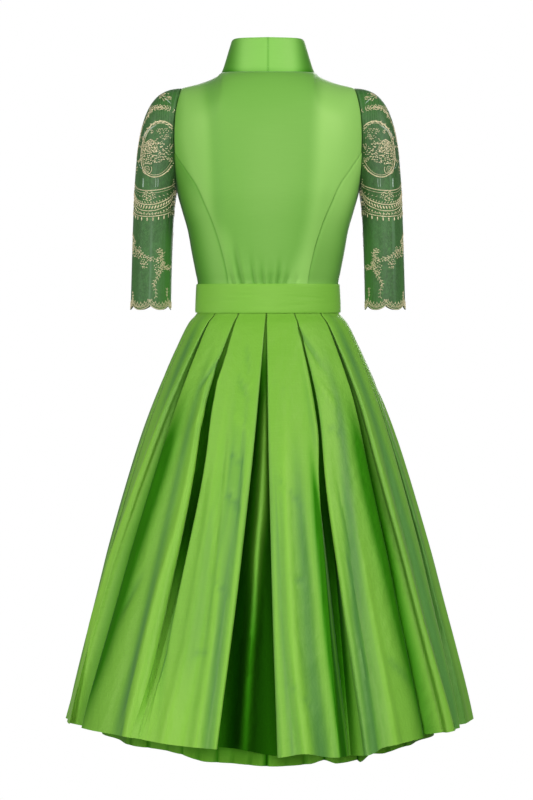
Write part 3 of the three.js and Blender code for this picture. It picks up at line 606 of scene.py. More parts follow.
def foldLines(x, z, table):
    # Sum of long soft ridges and troughs: high * exp(-(d / wide)^2) * rise and fall along the line.
    total = np.zeros(x.shape)
    for x0, z0, x1, z1, wide, high in columnsOf(table, "x0", "z0", "x1", "z1", "wide", "high"):
        length = math.hypot(x1 - x0, z1 - z0)
        along = ((x - x0) * (x1 - x0) + (z - z0) * (z1 - z0)) / length**2
        apart = ((x - x0) * (z1 - z0) - (z - z0) * (x1 - x0)) / length
        total += high * bell(apart, wide) * between(along, -0.15, 1.15, 0.45)
    return total


def backEdge(z):
    # The back panel ends at its seam, and above that at the armhole.
    return np.minimum(seamTurn(backSeam, z, True), armholeTurn(z, True))


def frontEdge(z):
    # The front panel starts at its seam, and above that at the armhole.
    return np.maximum(seamTurn(frontSeam, z, False), armholeTurn(z, False))


def sideLine(z):
    # The side seam, a quarter turn round.
    return np.full(z.shape, pi / 2)


def belowEdge(edgeZ):
    # How far a place on the torso is under an edge that is given by its height at every x.
    return lambda turn, z: edgeZ(np.abs(torsoPoint(turn, z)[..., 0])) - z


def outsideArmhole(onBack):
    # Above 0 below the armhole, and beside it on the cloth's side of its edge.
    way = 1 if onBack else -1
    return lambda turn, z: np.where(z < bodice["underarm"], 1.0, way * (armholeTurn(z, onBack) - turn))


def backHighlightBand(x, z, side):
    # 1 inside that side's painted highlight band and 0 outside it, with soft edges.
    start, end = smooth(backLightAndShade, "z", side + "From", z), smooth(backLightAndShade, "z", side + "To", z)
    beforeStart, afterStart, beforeEnd, afterEnd = backLightAndShade[side + "Soft"]
    return step(x, start - beforeStart, start + afterStart) * (1 - step(x, end - beforeEnd, end + afterEnd))


def backPanel():
    # Its columns end at the neck's corner, where the top edge turns to the shoulder.
    edge, corner = float(backEdge(np.array(0.0))), float(turnAt(neck["half"], 0, True))
    count = int(30 * fine)
    toNeck = turnAt(neck["half"] * np.sin(np.linspace(0, 1, count) * pi / 2), 0, True) / edge
    half = np.concatenate([toNeck, np.linspace(corner / edge, 1, count)[1:]])
    columns = np.concatenate([0.5 - half[::-1] / 2, 0.5 + half[1:] / 2])
    grid, z = bodicePanel(lambda z: -backEdge(z), backEdge, belowEdge(backTopZ), backTopZ, columns,
                          int(130 * fine), -bodice["shoulderGap"])
    x = grid[..., 0]
    depth = foldLines(x, z, backFolds)
    fromBelt = z - belt["top"]
    for low, high, reach, wide, deep in columnsOf(backGathers, "x", "topX", "reach", "wide", "deep"):
        height = np.clip(fromBelt / reach, 0, 1)
        fade = 1 - step(fromBelt, 0.05 * reach, reach)
        depth += deep * bell(x - mix(low, high, height**0.8), wide * (1 + 1.3 * height)) * fade
    # Painted light: a grey stripe, the brighter highlight bands, and painted shade in the gathers' troughs
    # and along the seams.
    slope = backLightAndShade["grey"] * bell(x - backLightAndShade["greyX"] + 0.05 * (z + 300), backLightAndShade["greyWidth"])
    for side in ("right", "left"):
        slope = slope + backLightAndShade[side] * backHighlightBand(x, z, side)
    gathered = backLightAndShade["gather"] * step(-depth, 0.4, 2.4)
    gathered[:, 0], gathered[:, -1] = backLightAndShade["seamLeft"], backLightAndShade["seamRight"]
    return dipSeams(grid + normalsOf(grid) * depth[..., None]), {"slope": slope, "hollow": gathered}


def sideBackLightAndShade(grid, share):
    # Painted light and shade of the right and left side backs: brighter painted bands beside the back, and
    # painted shade towards the sides, low on the right and high on the left. Their edges by the back are
    # shaded, so that the seams show.
    outward = np.broadcast_to(share, grid.shape[:2])
    low, high = 1 - step(grid[..., 2], -330, -200), step(grid[..., 2], -250, -160)
    right = {
        "slope": -0.75 * (1 - step(outward, 0.2, 0.8)) * (1 - 0.5 * low),
        "hollow": 0.30 * step(outward, 0.45, 1.0) + 0.12 * low,
    }
    left = {
        "slope": (-0.35 * (1 - step(outward, 0.05, 0.5)) * (1 - high))[:, ::-1],
        "hollow": (0.10 + 0.40 * step(outward, 0.15, 0.85) + 0.16 * high)[:, ::-1],
    }
    right["hollow"][:, 0], left["hollow"][:, -1] = backLightAndShade["seamRight"], backLightAndShade["seamLeft"]
    return right, left


def makeBodice():
    share, rows = np.linspace(0, 1, int(30 * fine)), int(90 * fine)
    # the back's grid, and the painted light and shade that go on it
    back, lightAndShade = backPanel()
    sideBack, _ = bodicePanel(lambda z: seamTurn(backSeam, z, True), sideLine, outsideArmhole(True),
                              backTopZ, share, rows)
    sideFront, _ = bodicePanel(sideLine, lambda z: seamTurn(frontSeam, z, False), outsideArmhole(False),
                               shoulderZ, share, rows)
    front, _ = bodicePanel(frontEdge, lambda z: np.full(z.shape, pi), belowEdge(frontEdgeZ), shoulderZ,
                           np.linspace(0, 1, int(56 * fine)), int(120 * fine), bodice["shoulderGap"])
    sewOn("back", back, bodice, bodiceCuts["back"], shades=lightAndShade)
    pairs = [
        ("side_back", dipSeams(sideBack), sideBackLightAndShade(sideBack, share)),
        ("side_front", dipSeams(sideFront), (None, None)),
        ("front", dipSeams(front, right=False), (None, None)),
    ]
    # each side's painted light and shade go on its panel
    for part, grid, (rightLightAndShade, leftLightAndShade) in pairs:
        sewOn(part + "_right", grid, bodice, bodiceCuts[part], shades=rightLightAndShade)
        sewOn(part + "_left", mirrored(grid), bodice, bodiceCuts[part], shades=leftLightAndShade)
    print("bodice done")


# front strip and buttons
placket = {
    "half": 12, "top": -172, "bottom": -364.5, "lift": 1.8, "edgeDrop": 0.35, "edgeWidth": 4, "thick": 0.9,
    "flat": (0.025, 0.2), "material": bodiceTaffeta, "slot": "bodice_taffeta", "held": "stretched",
}
button = {"count": 7, "radius": 6.5, "height": 3.6, "topZ": -184, "pitch": 28, "clear": 0.6}
buttonShape = {  # flat under, a pulled-in rim, and a low dome: shares of the radius and height along it
    "along": [0, 0.12, 0.3, 0.45, 0.7, 1.0],
    "out": [0.05, 0.8, 0.99, 0.97, 0.66, 0.02], "up": [0.02, 0.02, 0.22, 0.55, 0.86, 1.0],
}


def makeButton(name, z):
    # The profile turned about the line out of the strip, tilted as the front is at that height.
    here, above = torsoPoint(pi, z), torsoPoint(pi, z + 1)
    tilt = math.atan2(above[1] - here[1], 1)
    around, along = np.meshgrid(np.linspace(0, 2 * pi, 40, endpoint=False), np.linspace(0, 1, 16))
    radius = button["radius"] * np.interp(along, buttonShape["along"], buttonShape["out"])
    height = button["height"] * np.interp(along, buttonShape["along"], buttonShape["up"])
    up = radius * np.sin(around)
    lift = placket["lift"] + placket["thick"] / 2 + button["clear"]
    rings = np.stack([
        radius * np.cos(around),
        height * math.cos(tilt) + up * math.sin(tilt) + here[1] + lift / math.cos(tilt),
        -height * math.sin(tilt) + up * math.cos(tilt) + z,
    ], axis=-1)
    high, wide = rings.shape[:2]
    points = np.concatenate([rings.reshape(-1, 3), rings[:1].mean(axis=1), rings[-1:].mean(axis=1)])
    row, column = np.meshgrid(np.arange(high - 1) * wide, np.arange(wide), indexing="ij")
    place, ahead, above = row + column, row + (column + 1) % wide, row + wide
    body = np.stack([place, above + column, above + (column + 1) % wide, ahead], axis=-1).reshape(-1, 4)
    place, ahead, last = place[0], ahead[0], (high - 1) * wide
    underneath = np.stack([place, ahead, np.full(wide, high * wide)], axis=-1)
    over = np.stack([last + ahead, last + place, np.full(wide, high * wide + 1)], axis=-1)
    corners = np.concatenate([part.ravel() for part in (body, underneath, over)])
    faces = body.tolist() + underneath.tolist() + over.tolist()
    cover = placeMesh(name + "_cover", points, faces, points[corners][:, [0, 2]] / 1000, bodiceTaffeta, 180.0)
    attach(cover, "root")
    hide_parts(name)


def makeFrontOpening():
    # The strip lies on the front, lifted, with its edges turned down a little.
    z = np.linspace(placket["bottom"], placket["top"], int(90 * fine))[:, None]
    x = np.linspace(placket["half"], -placket["half"], 22)[None, :]
    grid = torsoPoint(turnAt(np.abs(x), z, False), z)
    grid[..., 0] = np.broadcast_to(x, grid.shape[:2])
    edge = np.minimum(placket["half"] - np.abs(grid[..., 0]), placket["edgeWidth"]) / placket["edgeWidth"]
    grid = grid + normalsOf(grid) * (placket["lift"] - placket["edgeDrop"] * (1 - edge) ** 2)[..., None]
    sewOn("placket", grid, placket, shaped=False)
    for i in range(button["count"]):
        makeButton("button_%d" % (i + 1), button["topZ"] - button["pitch"] * i)
    print("front opening done")


# collar
collar = {
    "along": [0, 0.18, 0.36, 0.55, 0.78, 1], "up": [60, 59, 57, 50, 33, 13],
    "inward": [11, 14, 19, 15, 8, 2], "forward": [0, 0, 3, 12, 12, 5],
}
collarCut = {
    "nape": 0.36, "reach": 0.97,   # shares of the neck seam: where the shoulder is, and the collar's end
    "napeX": (0.12, 0.02),         # the middle column's x, before and after the cloth is filled out
    "cadThick": 2.0, "bend": 0.75, "length": 300, "tall": 60, "napeWidth": 5,
    "fullness": 0.9, "foldDip": 0.8, "foldWidth": 1.6, "seamDip": 0.5, "seamWidth": 1.8,
    # painted shade: on the collar's sides that turn away, in a line at the nape's seam, and at its foot
    "sideShade": 0.50, "sideFrom": 38, "sideTo": 70, "napeShade": 0.3, "footShade": 0.18, "footWidth": 5,
    "thick": 1.7, "flat": (0.34, 0.07),
    "material": collarTaffeta, "slot": "bodice_taffeta", "held": "stretched",
}


def neckSeam(along):
    # The neck edge from the nape (0) over the shoulder (0.36) down to the point of the V (1).
    onBack = along <= collarCut["nape"]
    turn = np.clip(along / collarCut["nape"], 0, 1) * pi / 2
    backX = neck["half"] * np.sin(turn)
    back = np.stack([backX, backTopY(backX), backTopZ(backX)], axis=-1)
    z = neck["pointZ"] * np.clip((along - collarCut["nape"]) / (1 - collarCut["nape"]), 0, 1) ** 1.5
    x = neck["half"] * np.clip(1 - z / neck["pointZ"], 0, 1) ** neck["curve"]
    front = torsoPoint(turnAt(x, z, False), z)
    return np.where(onBack[..., None], back, front)


def unit(vectors):
    # The same directions, of length 1.
    return vectors / np.linalg.norm(vectors, axis=-1, keepdims=True)


def makeCollar():
    # From each point of the neck seam the cloth rises by `up`, leaning `inward` and `forward`. It is
    # fuller in the middle than at its seam and its folded edge.
    along = np.linspace(0, collarCut["reach"], int(110 * fine))
    seam = neckSeam(along)
    run = unit(neckSeam(np.minimum(1, along + 0.01)) - neckSeam(np.maximum(0, along - 0.01)))
    lowZ = seam[:, 2] - 2
    behind, before = (torsoPoint(turnAt(seam[:, 0], lowZ, onBack), lowZ) for onBack in (True, False))
    past = seam - np.where((along <= collarCut["nape"])[:, None], behind, before)
    past = unit(past - run * (past * run).sum(-1, keepdims=True))
    inward = -unit(seam[:, :2]) * smooth(collar, "along", "inward", along)[:, None]
    forward, up = smooth(collar, "along", "forward", along), smooth(collar, "along", "up", along)
    rise = np.stack([inward[:, 0], inward[:, 1] + forward, up], axis=-1)
    across = unit(np.cross(run, rise))
    foot = seam + past * (0.5 + collarCut["cadThick"] / 2 * np.abs((across * past).sum(-1)))[:, None]
    height = np.linspace(0, 1, int(44 * fine))[:, None]
    bend = height ** collarCut["bend"]
    grid = foot[None] + np.stack([rise[:, 0] * bend, rise[:, 1] * bend, rise[:, 2] * height], axis=-1)
    grid[:, 0, 0] = collarCut["napeX"][0]
    up, down = height * collarCut["tall"], (1 - height) * collarCut["tall"]
    full = np.sin(pi * height) * (1 - bell(along[None] * collarCut["length"], collarCut["napeWidth"]))
    full = collarCut["fullness"] * full - collarCut["foldDip"] * bell(down, collarCut["foldWidth"])
    full = full - collarCut["seamDip"] * bell(up, collarCut["seamWidth"])
    grid = grid + normalsOf(grid) * full[..., None]
    grid[:, 0, 0] = collarCut["napeX"][1]
    # Painted shade on the sides that turn away from the front, along the nape's seam and at the foot.
    toSide = step(grid[..., 0], collarCut["sideFrom"], collarCut["sideTo"]) * (grid[..., 1] < 0)
    tone = collarCut["sideShade"] * toSide
    tone[:, 0] = collarCut["napeShade"]
    tone += collarCut["footShade"] * bell(up, collarCut["footWidth"])
    for node, one, shade in (("collar_right", grid, tone), ("collar_left", mirrored(grid), tone[:, ::-1])):
        sewOn(node, one, collarCut, shades={"hollow": shade})
    print("collar done")


# belt
belt = {
    "top": -366, "bottom": -415.5, "halfTop": 124.8, "halfBottom": 126.9, "depthLess": 32, "centreY": 8,
    "lap": 9, "riseFrom": 145, "riseTo": 168,   # degrees
    "lapRise": 2.6, "edgeDip": 0.7, "edgeWidth": 1.5, "fullness": 0.25, "thick": 1.6, "flat": (0.74, 0.05),
    "material": beltTaffeta, "slot": "skirt_taffeta", "held": "stretched",
}
beltCreases = {  # along the belt: from and to in degrees, height up the belt, tilt, width, depth
    "from": [-75, -40, -22, 8, 30, 95, -150, 140], "to": [-8, 12, 40, 62, 78, 160, -95, 200],
    "up": [0.42, 0.60, 0.24, 0.52, 0.34, 0.5, 0.45, 0.4],
    "tilt": [0.10, -0.06, 0.08, -0.10, 0.06, 0.05, -0.08, 0.1],
    "wide": [2.6, 2.2, 2.8, 2.4, 2.6, 2.5, 2.4, 2.6], "deep": [0.5, 0.35, 0.4, 0.45, 0.35, 0.4, 0.4, 0.35],
}


def makeBelt():
    # An oval band, one end of which rises over the other at the front, with long flat creases.
    height = np.linspace(0, 1, int(26 * fine))[:, None]
    turn = np.linspace(-180 - belt["lap"], 180 + belt["lap"], int(230 * fine))[None, :]
    over = step(turn, belt["riseFrom"], belt["riseTo"]) * belt["lapRise"]
    half = mix(belt["halfBottom"], belt["halfTop"], height) + over
    deep = half - belt["depthLess"]
    angle = np.radians(turn)
    z = np.broadcast_to(mix(belt["bottom"], belt["top"], height), half.shape)
    grid = np.stack([half * np.sin(angle), belt["centreY"] - deep * np.cos(angle), z], axis=-1)
    tall = belt["top"] - belt["bottom"]
    depth = belt["fullness"] * np.sin(pi * height) + 0 * turn
    for fromEdge in (height * tall, (1 - height) * tall):
        depth = depth - belt["edgeDip"] * bell(fromEdge, belt["edgeWidth"])
    for low, high, up, tilt, wide, dip in columnsOf(beltCreases, "from", "to", "up", "tilt", "wide", "deep"):
        along = (turn - low) / (high - low)
        apart = (height - up - tilt * (along - 0.5)) * tall
        depth = depth - dip * bell(apart, wide) * between(along, 0, 1, 0.3)
    sewOn("belt", grid + normalsOf(grid) * depth[..., None], belt)
    print("belt done")


# skirt
skirt = {
    "top": -408.5, "hem": -1123, "depthLess": 32, "centreY": 8, "sag": 0.12, "middle": 0.34, "thick": 0.7,
    "seamGap": 0.12, "controls": 16, "valley": 7,   # control points of a pleat, and which is its valley
    "material": skirtTaffeta, "slot": "skirt_taffeta", "held": "gathered",
}
skirtOutline = {
    "z":    [-1125, -1083, -999, -915, -831, -747, -663, -579, -516, -474, -432, -416, -408.3],
    "half": [354.5, 345.5, 324.5, 302.5, 281, 257, 231.5, 203.5, 178.5, 159.5, 138, 124.3, 122.6],
}
foldLead = [6, 13, 32]
pleatRows = [  # degrees from the middle of the back at waist and hem, then mouth, depth, and the cloth tucked
    # before and after the valley, each at waist, middle and hem, and how far it bows aside above the hips
    (-176, -178, (0.9, 7, 30), (7, 28, 40), (8, 14, -2), (8, 14, -8), 0),
    (-152, -153, (0.9, 6, 22), (7, 26, 30), (8, 12, -12), (8, 12, -6), 0),
    (-126, -128, (0.9, 8, 28), (7, 28, 34), (8, 12, -6), (8, 10, -16), 0),
    (-100, -104, (0.9, 6, 22), (7, 24, 26), (8, 10, -14), (8, 12, -8), 0),
    (-73, -85, (0.9, 7, 24), (7, 24, 24), (8, 10, -14), (8, 10, -12), 0),
    (-46.5, -72, (0.9, 14, 40), (7, 24, 27), (8, -10, -34), (8, -4, -30), 0),
    (-23, -37, (0.9, 12, 13), (7, 28, 2), (8, 9, -8), (8, 9, -8), -3.5),
    (-1.2, -5.7, (0.9, 14, 51), (7, 32, 46), (8, 16, 16), (8, 16, 8), 0),
    (21, 23.7, (0.9, 6, 22), (7, 28, 32), (8, -4, -22), (8, 12, -14), 2.5),
    (46.5, 53.5, (0.9, 12, 32), (7, 28, 32), (8, -4, -28), (8, -2, -28), 1.8),
    (75, 74, (0.9, 7, 24), (7, 24, 26), (8, 10, -14), (8, 10, -10), 0),
    (101, 101, (0.9, 6, 24), (7, 26, 30), (8, 12, -12), (8, 10, -6), 0),
    (127, 127, (0.9, 8, 28), (7, 28, 34), (8, 10, -6), (8, 12, -14), 0),
    (153, 154, (0.9, 7, 22), (7, 26, 30), (8, 12, -6), (8, 12, -12), 0),
]
hemDrop = {
    "turn": [-180, -90, -62, -45, -27, -12, 3, 10, 20, 29, 37, 54, 90, 180],
    "drop": [0, 8, -2, -5, 0, 3, 14, 9, 17, 18, 6, 1, 7, 0],
}
skirtPanels = {  # first and last pleat, whose valleys hide the seams, and the cut in metres
    "skirt_front": (13, 17, (1.32, 0.76)), "skirt_left": (3, 6, (1.02, 0.76)),
    "skirt_back": (6, 9, (1.0, 0.76)), "skirt_right": (9, 13, (1.32, 0.76)),
}
creaseShares = [0.1, 0.4, 0.7, 1.0]
skirtCreases = [  # folds on the panels: turns at those shares, from, to, width, height (+ out)
    ((-60, -68, -78, -88), 0.05, 1.3, 15, 7.0),
    ((-47, -46.5, -48, -51), 0.10, 1.1, 12, -3.0),
    ((-38.5, -35.8, -40.7, -43), 0.05, 1.3, 21, 13.0),
    ((-36, -37, -40.3, -44.7), 0.45, 1.3, 3.6, -1.6),
    ((-32, -34, -36.2, -33), 0.40, 1.0, 9, -4.5),
    ((-27, -25, -26.6, -31), 0.25, 1.3, 14, 8.0),
    ((-22, -22, -22.4, -25.5), 0.15, 1.3, 9, -3.5),
    ((-20.5, -18.8, -18.6, -21), 0.10, 1.3, 11, 5.5),
    ((-15.5, -13.6, -15.4, -17.6), 0.15, 1.3, 8, -4.8),
    ((-12, -11, -12.2, -14.6), 0.20, 1.3, 7, 2.5),
    ((3, 3, 2.6, 4.5), 0.20, 1.3, 8, 3.0),
    ((4.8, 4.6, 5.2, 8.4), 0.35, 1.3, 6.5, -2.4),
    ((8.0, 7.5, 8.0, 11), 0.25, 1.3, 15, 10.0),
    ((16.5, 17, 18.6, 19.5), 0.30, 1.3, 20, -9.0),
    ((14, 14, 15.0, 18), 0.72, 1.3, 3.0, 1.8),
    ((17.5, 17.5, 18.2, 21), 0.60, 1.3, 8, 3.5),
    ((24.5, 26, 28, 29), 0.05, 1.3, 11, 7.0),
    ((33, 32.8, 31.9, 32.4), 0.36, 1.3, 3.4, 2.6),
    ((34, 33.5, 33.8, 34.8), 0.25, 1.3, 10, -7.5),
    ((38, 37, 37.6, 39), 0.40, 1.3, 11, 7.0),
    ((57, 56.5, 58.5, 62.5), 0.05, 1.3, 16, 10.0),
    ((66, 64, 65, 68), 0.20, 1.3, 13, -7.0),
    ((70, 70, 70, 72), 0.15, 0.9, 4, 2.2),
    ((74, 76, 76, 77), 0.60, 1.3, 13, 5.0),
    ((-94, -95, -97, -98), 0.10, 1.3, 17, 7.0),
    ((-112, -114, -115, -116), 0.15, 1.3, 19, 9.0),
    ((-119, -119, -120, -121), 0.35, 1.3, 7, -3.6),
    ((-138, -139, -141, -142), 0.10, 1.3, 20, 10.0),
    ((-146, -147, -146, -146), 0.45, 1.3, 7, -3.4),
    ((-163, -165, -166, -167), 0.10, 1.3, 18, 9.0),
    ((168, 167, 166, 166), 0.10, 1.3, 19, 9.0),
    ((160, 161, 160, 161), 0.50, 1.3, 7, -3.4),
    ((141, 140, 141, 142), 0.10, 1.3, 20, 10.0),
    ((134, 133, 134, 135), 0.35, 1.3, 7, -3.6),
    ((114, 114, 113, 114), 0.10, 1.3, 18, 9.0),
    ((89, 88, 87, 87), 0.10, 1.3, 17, 8.0),
    ((82, 82, 81, 80), 0.45, 1.3, 7, -3.4),
]
recessShade = {  # painted shade: how dark each pleat is painted inside, by its turn, at four heights
    "turn":   [-176, -152, -127, -102, -80, -58, -31, -12, 2, 23, 50, 75, 101, 127, 153],
    "upper":  [0.9, 0.9, 0.9, 0.9, 0.8, 0.9, 0.75, 0.99, 0.95, 0.78, 0.9, 0.9, 0.9, 0.9, 0.9],
    "middle": [0.85, 0.8, 0.85, 0.8, 0.55, 0.85, 0.9, 1, 0.95, 0.95, 0.9, 0.8, 0.8, 0.85, 0.8],
    "low":    [0.8, 0.65, 0.75, 0.65, 0.4, 0.72, 0.30, 1, 0.90, 0.80, 0.74, 0.6, 0.65, 0.75, 0.65],
    "hem":    [0.6, 0.45, 0.5, 0.45, 0.3, 0.45, 0.0, 1, 0.88, 0.45, 0.58, 0.4, 0.45, 0.5, 0.45],
}
toneShares = [0.2, 0.4, 0.7, 1.0]
skirtLightAndShade = [  # bands of painted light: turns at those shares, from, to, width, greyer (above 0 painted grey sheen and shade, below 0 a brighter painted highlight), deeper (painted shade)
    ((-51.5, -55.2, -61.5, -69), 0.15, 1.12, 34, 0, 0.76),
    ((21.6, 21.4, 21.6, 23.4), 0.25, 1.4, 11, 0, 0.80),
    ((48.5, 47.8, 50.2, 53.8), 0.15, 1.3, 28, 0, 0.74),
    ((-43, -43.6, -45, -48), 0.05, 1.2, 15, 0.8, 0),
    ((-36, -36, -34, -31), 0.72, 1.6, 60, -0.9, 0),
    ((-35.5, -37, -41, -43), 0.10, 1.3, 12, -0.7, 0),
    ((-65, -69, -76, -80), 0.16, 1.3, 18, -1.1, -0.25),
    ((11, 8, 8.4, 11.5), 0.15, 1.3, 11, -0.6, 0),
    ((27, 27, 27.3, 28.5), 0.10, 1.3, 8, -0.7, 0),
    ((40, 37, 38.7, 38.5), 0.45, 1.3, 10, -0.5, 0),
    ((55, 55, 57.5, 61), 0.10, 1.3, 12, -0.7, 0),
    ((-25, -24, -19, -21), 0.10, 1.3, 7, -0.4, 0),
    ((-7, -9.8, -12.9, -15), 0.20, 1.3, 5, -0.4, 0),
    ((-45.4, -45.4, -45.4, -45.2), 0.65, 1.4, 4, 0.8, 0),
    ((-34, -34, -36.1, -33.3), 0.40, 1.1, 8, 0.6, 0.1),
    ((-66, -70, -76, -80), -0.3, 0.42, 22, 0.9, 0),
    ((-88, -92, -97, -101), -0.3, 1.1, 22, 0.7, 0.1),
    ((-20, -17.5, -21, -23), 0.15, 0.8, 6, 0.5, 0),
    ((-12.6, -12.9, -15.8, -17.5), 0.15, 1.4, 9, 0.75, 0),
    ((3.2, 3.4, 4.6, 7.2), 0.30, 1.4, 5, 0.7, 0),
    ((14.5, 14.0, 13.8, 15.8), 0.25, 1.3, 16, 0.95, 0.08),
    ((42, 37.5, 32.4, 31.4), 0.05, 1.4, 17, 0.95, 0),
    ((33, 32.2, 31.9, 32.4), 0.36, 1.4, 2.6, 1.0, -0.15),
    ((64, 65, 67, 69), -0.3, 1.2, 24, 0.9, 0),
    ((79, 79, 79, 79), 0.1, 1.2, 18, 0.5, 0.1),
    ((-107, -107, -108, -108), 0.1, 1.2, 18, 0.7, 0.1),
    ((-121, -121, -122, -122), 0.1, 1.2, 16, 0.5, 0.1),
    ((-134, -135, -134, -133), 0.1, 1.2, 15, 0.8, 0),
    ((-157, -158, -159, -159), 0.1, 1.2, 17, 0.7, 0.1),
    ((-171, -171, -170, -170), 0.1, 1.2, 13, 0.6, 0),
    ((161, 161, 160, 159), 0.1, 1.2, 17, 0.8, 0.1),
    ((148, 147, 147, 147), 0.1, 1.2, 14, 0.5, 0),
    ((134, 134, 133, 132), 0.1, 1.2, 18, 0.7, 0.1),
    ((120, 120, 120, 121), 0.1, 1.2, 15, 0.5, 0.1),
    ((107, 107, 106, 106), 0.1, 1.2, 16, 0.8, 0),
    ((92, 93, 94, 94), 0.1, 1.2, 16, 0.6, 0.1),
]
innerFold = {  # the fold that stands in the middle pleat and catches the light: `lit` is how much of the painted shade inside the pleat is taken off it
    "at": [0.2, 0.33, 0.45, 0.57, 0.68, 0.8, 1.0], "turn": [-2.0, -2.4, -3.2, -5.2, -5.8, -7.0, -8.0],
    "wide": [8, 12, 15, 14, 13, 13, 14], "high": [5, 12, 16, 15, 13, 12, 10],
    "lit": [0.6, 0.98, 0.95, 0.82, 0.48, 0.22, 0.12],
}
skirtShading = {  # where light and shade are painted on the skirt: from and to, in millimetres inside a pleat unless said
    "dark": (4, 26), "noDrag": (3, 10), "noGrey": (8, 26), "noCrease": (1, 8), "innerFold": (6, 18),
    "aside": (8, 34), "asideGreySheen": 0.35,      # degrees that the cloth faces aside, where grey sheen and shade are painted
    "belowWaist": (-0.02, 0.1),               # share of the length
    # drags shape the cloth, and get a painted shade and highlight
    "dragShape": 1.7, "dragLightAndShade": 0.32, "bandReach": 1.5,
}
skirtDrags = [  # short soft creases aslant: turn and share where it starts and ends, bow, width, height
    (-31, 0.10, -44, 0.20, -2.0, 3.5, -1.6),
    (-30, 0.14, -41, 0.30, -1.5, 5.0, 1.3),
    (-17, 0.08, -12, 0.16, 1.0, 3.0, -1.1),
    (-20, 0.15, -10, 0.22, -1.2, 3.2, -1.3),
    (-19, 0.24, -9, 0.30, 1.0, 3.6, 1.2),
    (-20, 0.33, -12, 0.36, -1.0, 4.0, -1.2),
    (-19, 0.42, -12, 0.47, 1.2, 5.0, -1.3),
    (-8, 0.16, -14, 0.20, 0.6, 2.6, 0.9),
    (2, 0.17, 12, 0.19, 0.5, 2.4, -0.5),
    (3, 0.38, 17, 0.46, -1.5, 4.0, -1.2),
    (24, 0.03, 40, 0.16, 1.5, 4.0, -1.5),
    (30, 0.16, 42, 0.24, -1.5, 4.0, 1.3),
    (31, 0.27, 41, 0.30, 1.0, 3.5, -1.1),
    (6, 0.60, 16, 0.63, -1.0, 5.0, -1.1),
    (-22, 0.62, -14, 0.66, 1.0, 4.5, -1.2),
    (-18, 0.78, -26, 0.80, -1.0, 5.0, -1.0),
    (-50, 0.62, -58, 0.74, -1.5, 6.0, -1.4),
    (40, 0.80, 50, 0.88, 1.0, 6.0, -1.3),
    (6, 0.84, 14, 0.90, -1.0, 5.0, -1.2),
    (96, 0.12, 86, 0.22, 1.5, 4.0, -1.5),
    (-96, 0.10, -86, 0.20, -1.5, 4.0, -1.5),
    (120, 0.14, 110, 0.26, 1.5, 4.5, -1.4),
    (-118, 0.12, -108, 0.24, 1.2, 4.5, -1.4),
    (146, 0.10, 134, 0.20, -1.2, 4.0, -1.4),
    (-146, 0.12, -134, 0.24, 1.2, 4.5, -1.4),
    (170, 0.10, 160, 0.22, 1.2, 4.2, -1.4),
    (-170, 0.12, -160, 0.22, 1.2, 4.2, -1.4),
]


def alongSkirt(sizes, share):
    # Waist, middle and hem sizes read at a share of the length.
    return smooth({"at": [0, skirt["middle"], 1], "value": sizes}, "at", "value", share)


def ovalPoint(half, turn, aside, inwards):
    # Ellipse of half widths half and half - 32: turn in degrees, moved aside along it and inwards.
    deep = half - skirt["depthLess"]
    start = np.radians(turn)
    angle = start + aside / np.hypot(half * np.cos(start), deep * np.sin(start))
    nx, ny = deep * np.sin(angle), -half * np.cos(angle)
    size = np.hypot(nx, ny)
    x = half * np.sin(angle) - nx / size * inwards
    return x, skirt["centreY"] - deep * np.cos(angle) - ny / size * inwards


def pleatTurn(row, share):
    # Where the pleat's middle is: from its waist turn to its hem turn by share^0.8, and its bow aside.
    return mix(row[0], row[1], share**0.8) + row[6] * bell(share - 0.2, 0.14)


def pleatSide(mouth, depth, tuck, lead, side):
    # Half a pleat, from the panel round the fold edge and under it to the valley: aside and inwards.
    return [
        (side * (mouth + lead), 0 * depth), (side * mouth, 0 * depth),
        (side * (mouth - 0.1 * tuck), depth * 0.16), (side * (mouth + tuck * 0.5), depth * 0.5),
        (side * (mouth + tuck * 1.1), depth * 0.84), (side * (mouth + tuck), depth),
        (side * (mouth + tuck) * 0.5, depth),
    ]


def skirtControls(share):
    # Sixteen control points for each inverted pleat, from its left fold edge by the valley to its right
    # fold edge and on to the middle of the next panel, as turn, aside and inwards for every height.
    turns, asides, depths = [], [], []
    lead = alongSkirt(foldLead, share)
    for k, row in enumerate(pleatRows):
        mouth, depth, before, after = (alongSkirt(row[c], share) for c in range(2, 6))
        valley = [(0 * depth, depth)]
        turn = pleatTurn(row, share)
        lastOne = k + 1 == len(pleatRows)
        nextTurn = pleatTurn(pleatRows[0 if lastOne else k + 1], share) + (360 if lastOne else 0)
        left, right = pleatSide(mouth, depth, before, lead, -1), pleatSide(mouth, depth, after, lead, 1)
        for aside, inward in left + valley + right[::-1]:
            turns.append(turn)
            asides.append(aside)
            depths.append(inward)
        turns.append(mix(turn, nextTurn, 0.5))
        asides.append(0 * depth)
        depths.append(0 * depth)
    return np.stack(turns, -1), np.stack(asides, -1), np.stack(depths, -1)


def spline(controls, at):
    # Uniform cubic B-spline round a ring of controls (rows, ring), read at the places `at`.
    first = np.floor(at).astype(int)
    f = at - first
    weights = [(1 - f) ** 3, 3 * f**3 - 6 * f**2 + 4, -3 * f**3 + 3 * f**2 + 3 * f + 1, f**3]
    around = controls.shape[1]
    return sum(controls[:, (first - 1 + k) % around] * weight / 6 for k, weight in enumerate(weights))


def roundTo(turn, line, half):
    # Millimetres round the skirt from a turn to a line.
    return np.radians(turnApart(turn, line)) * half


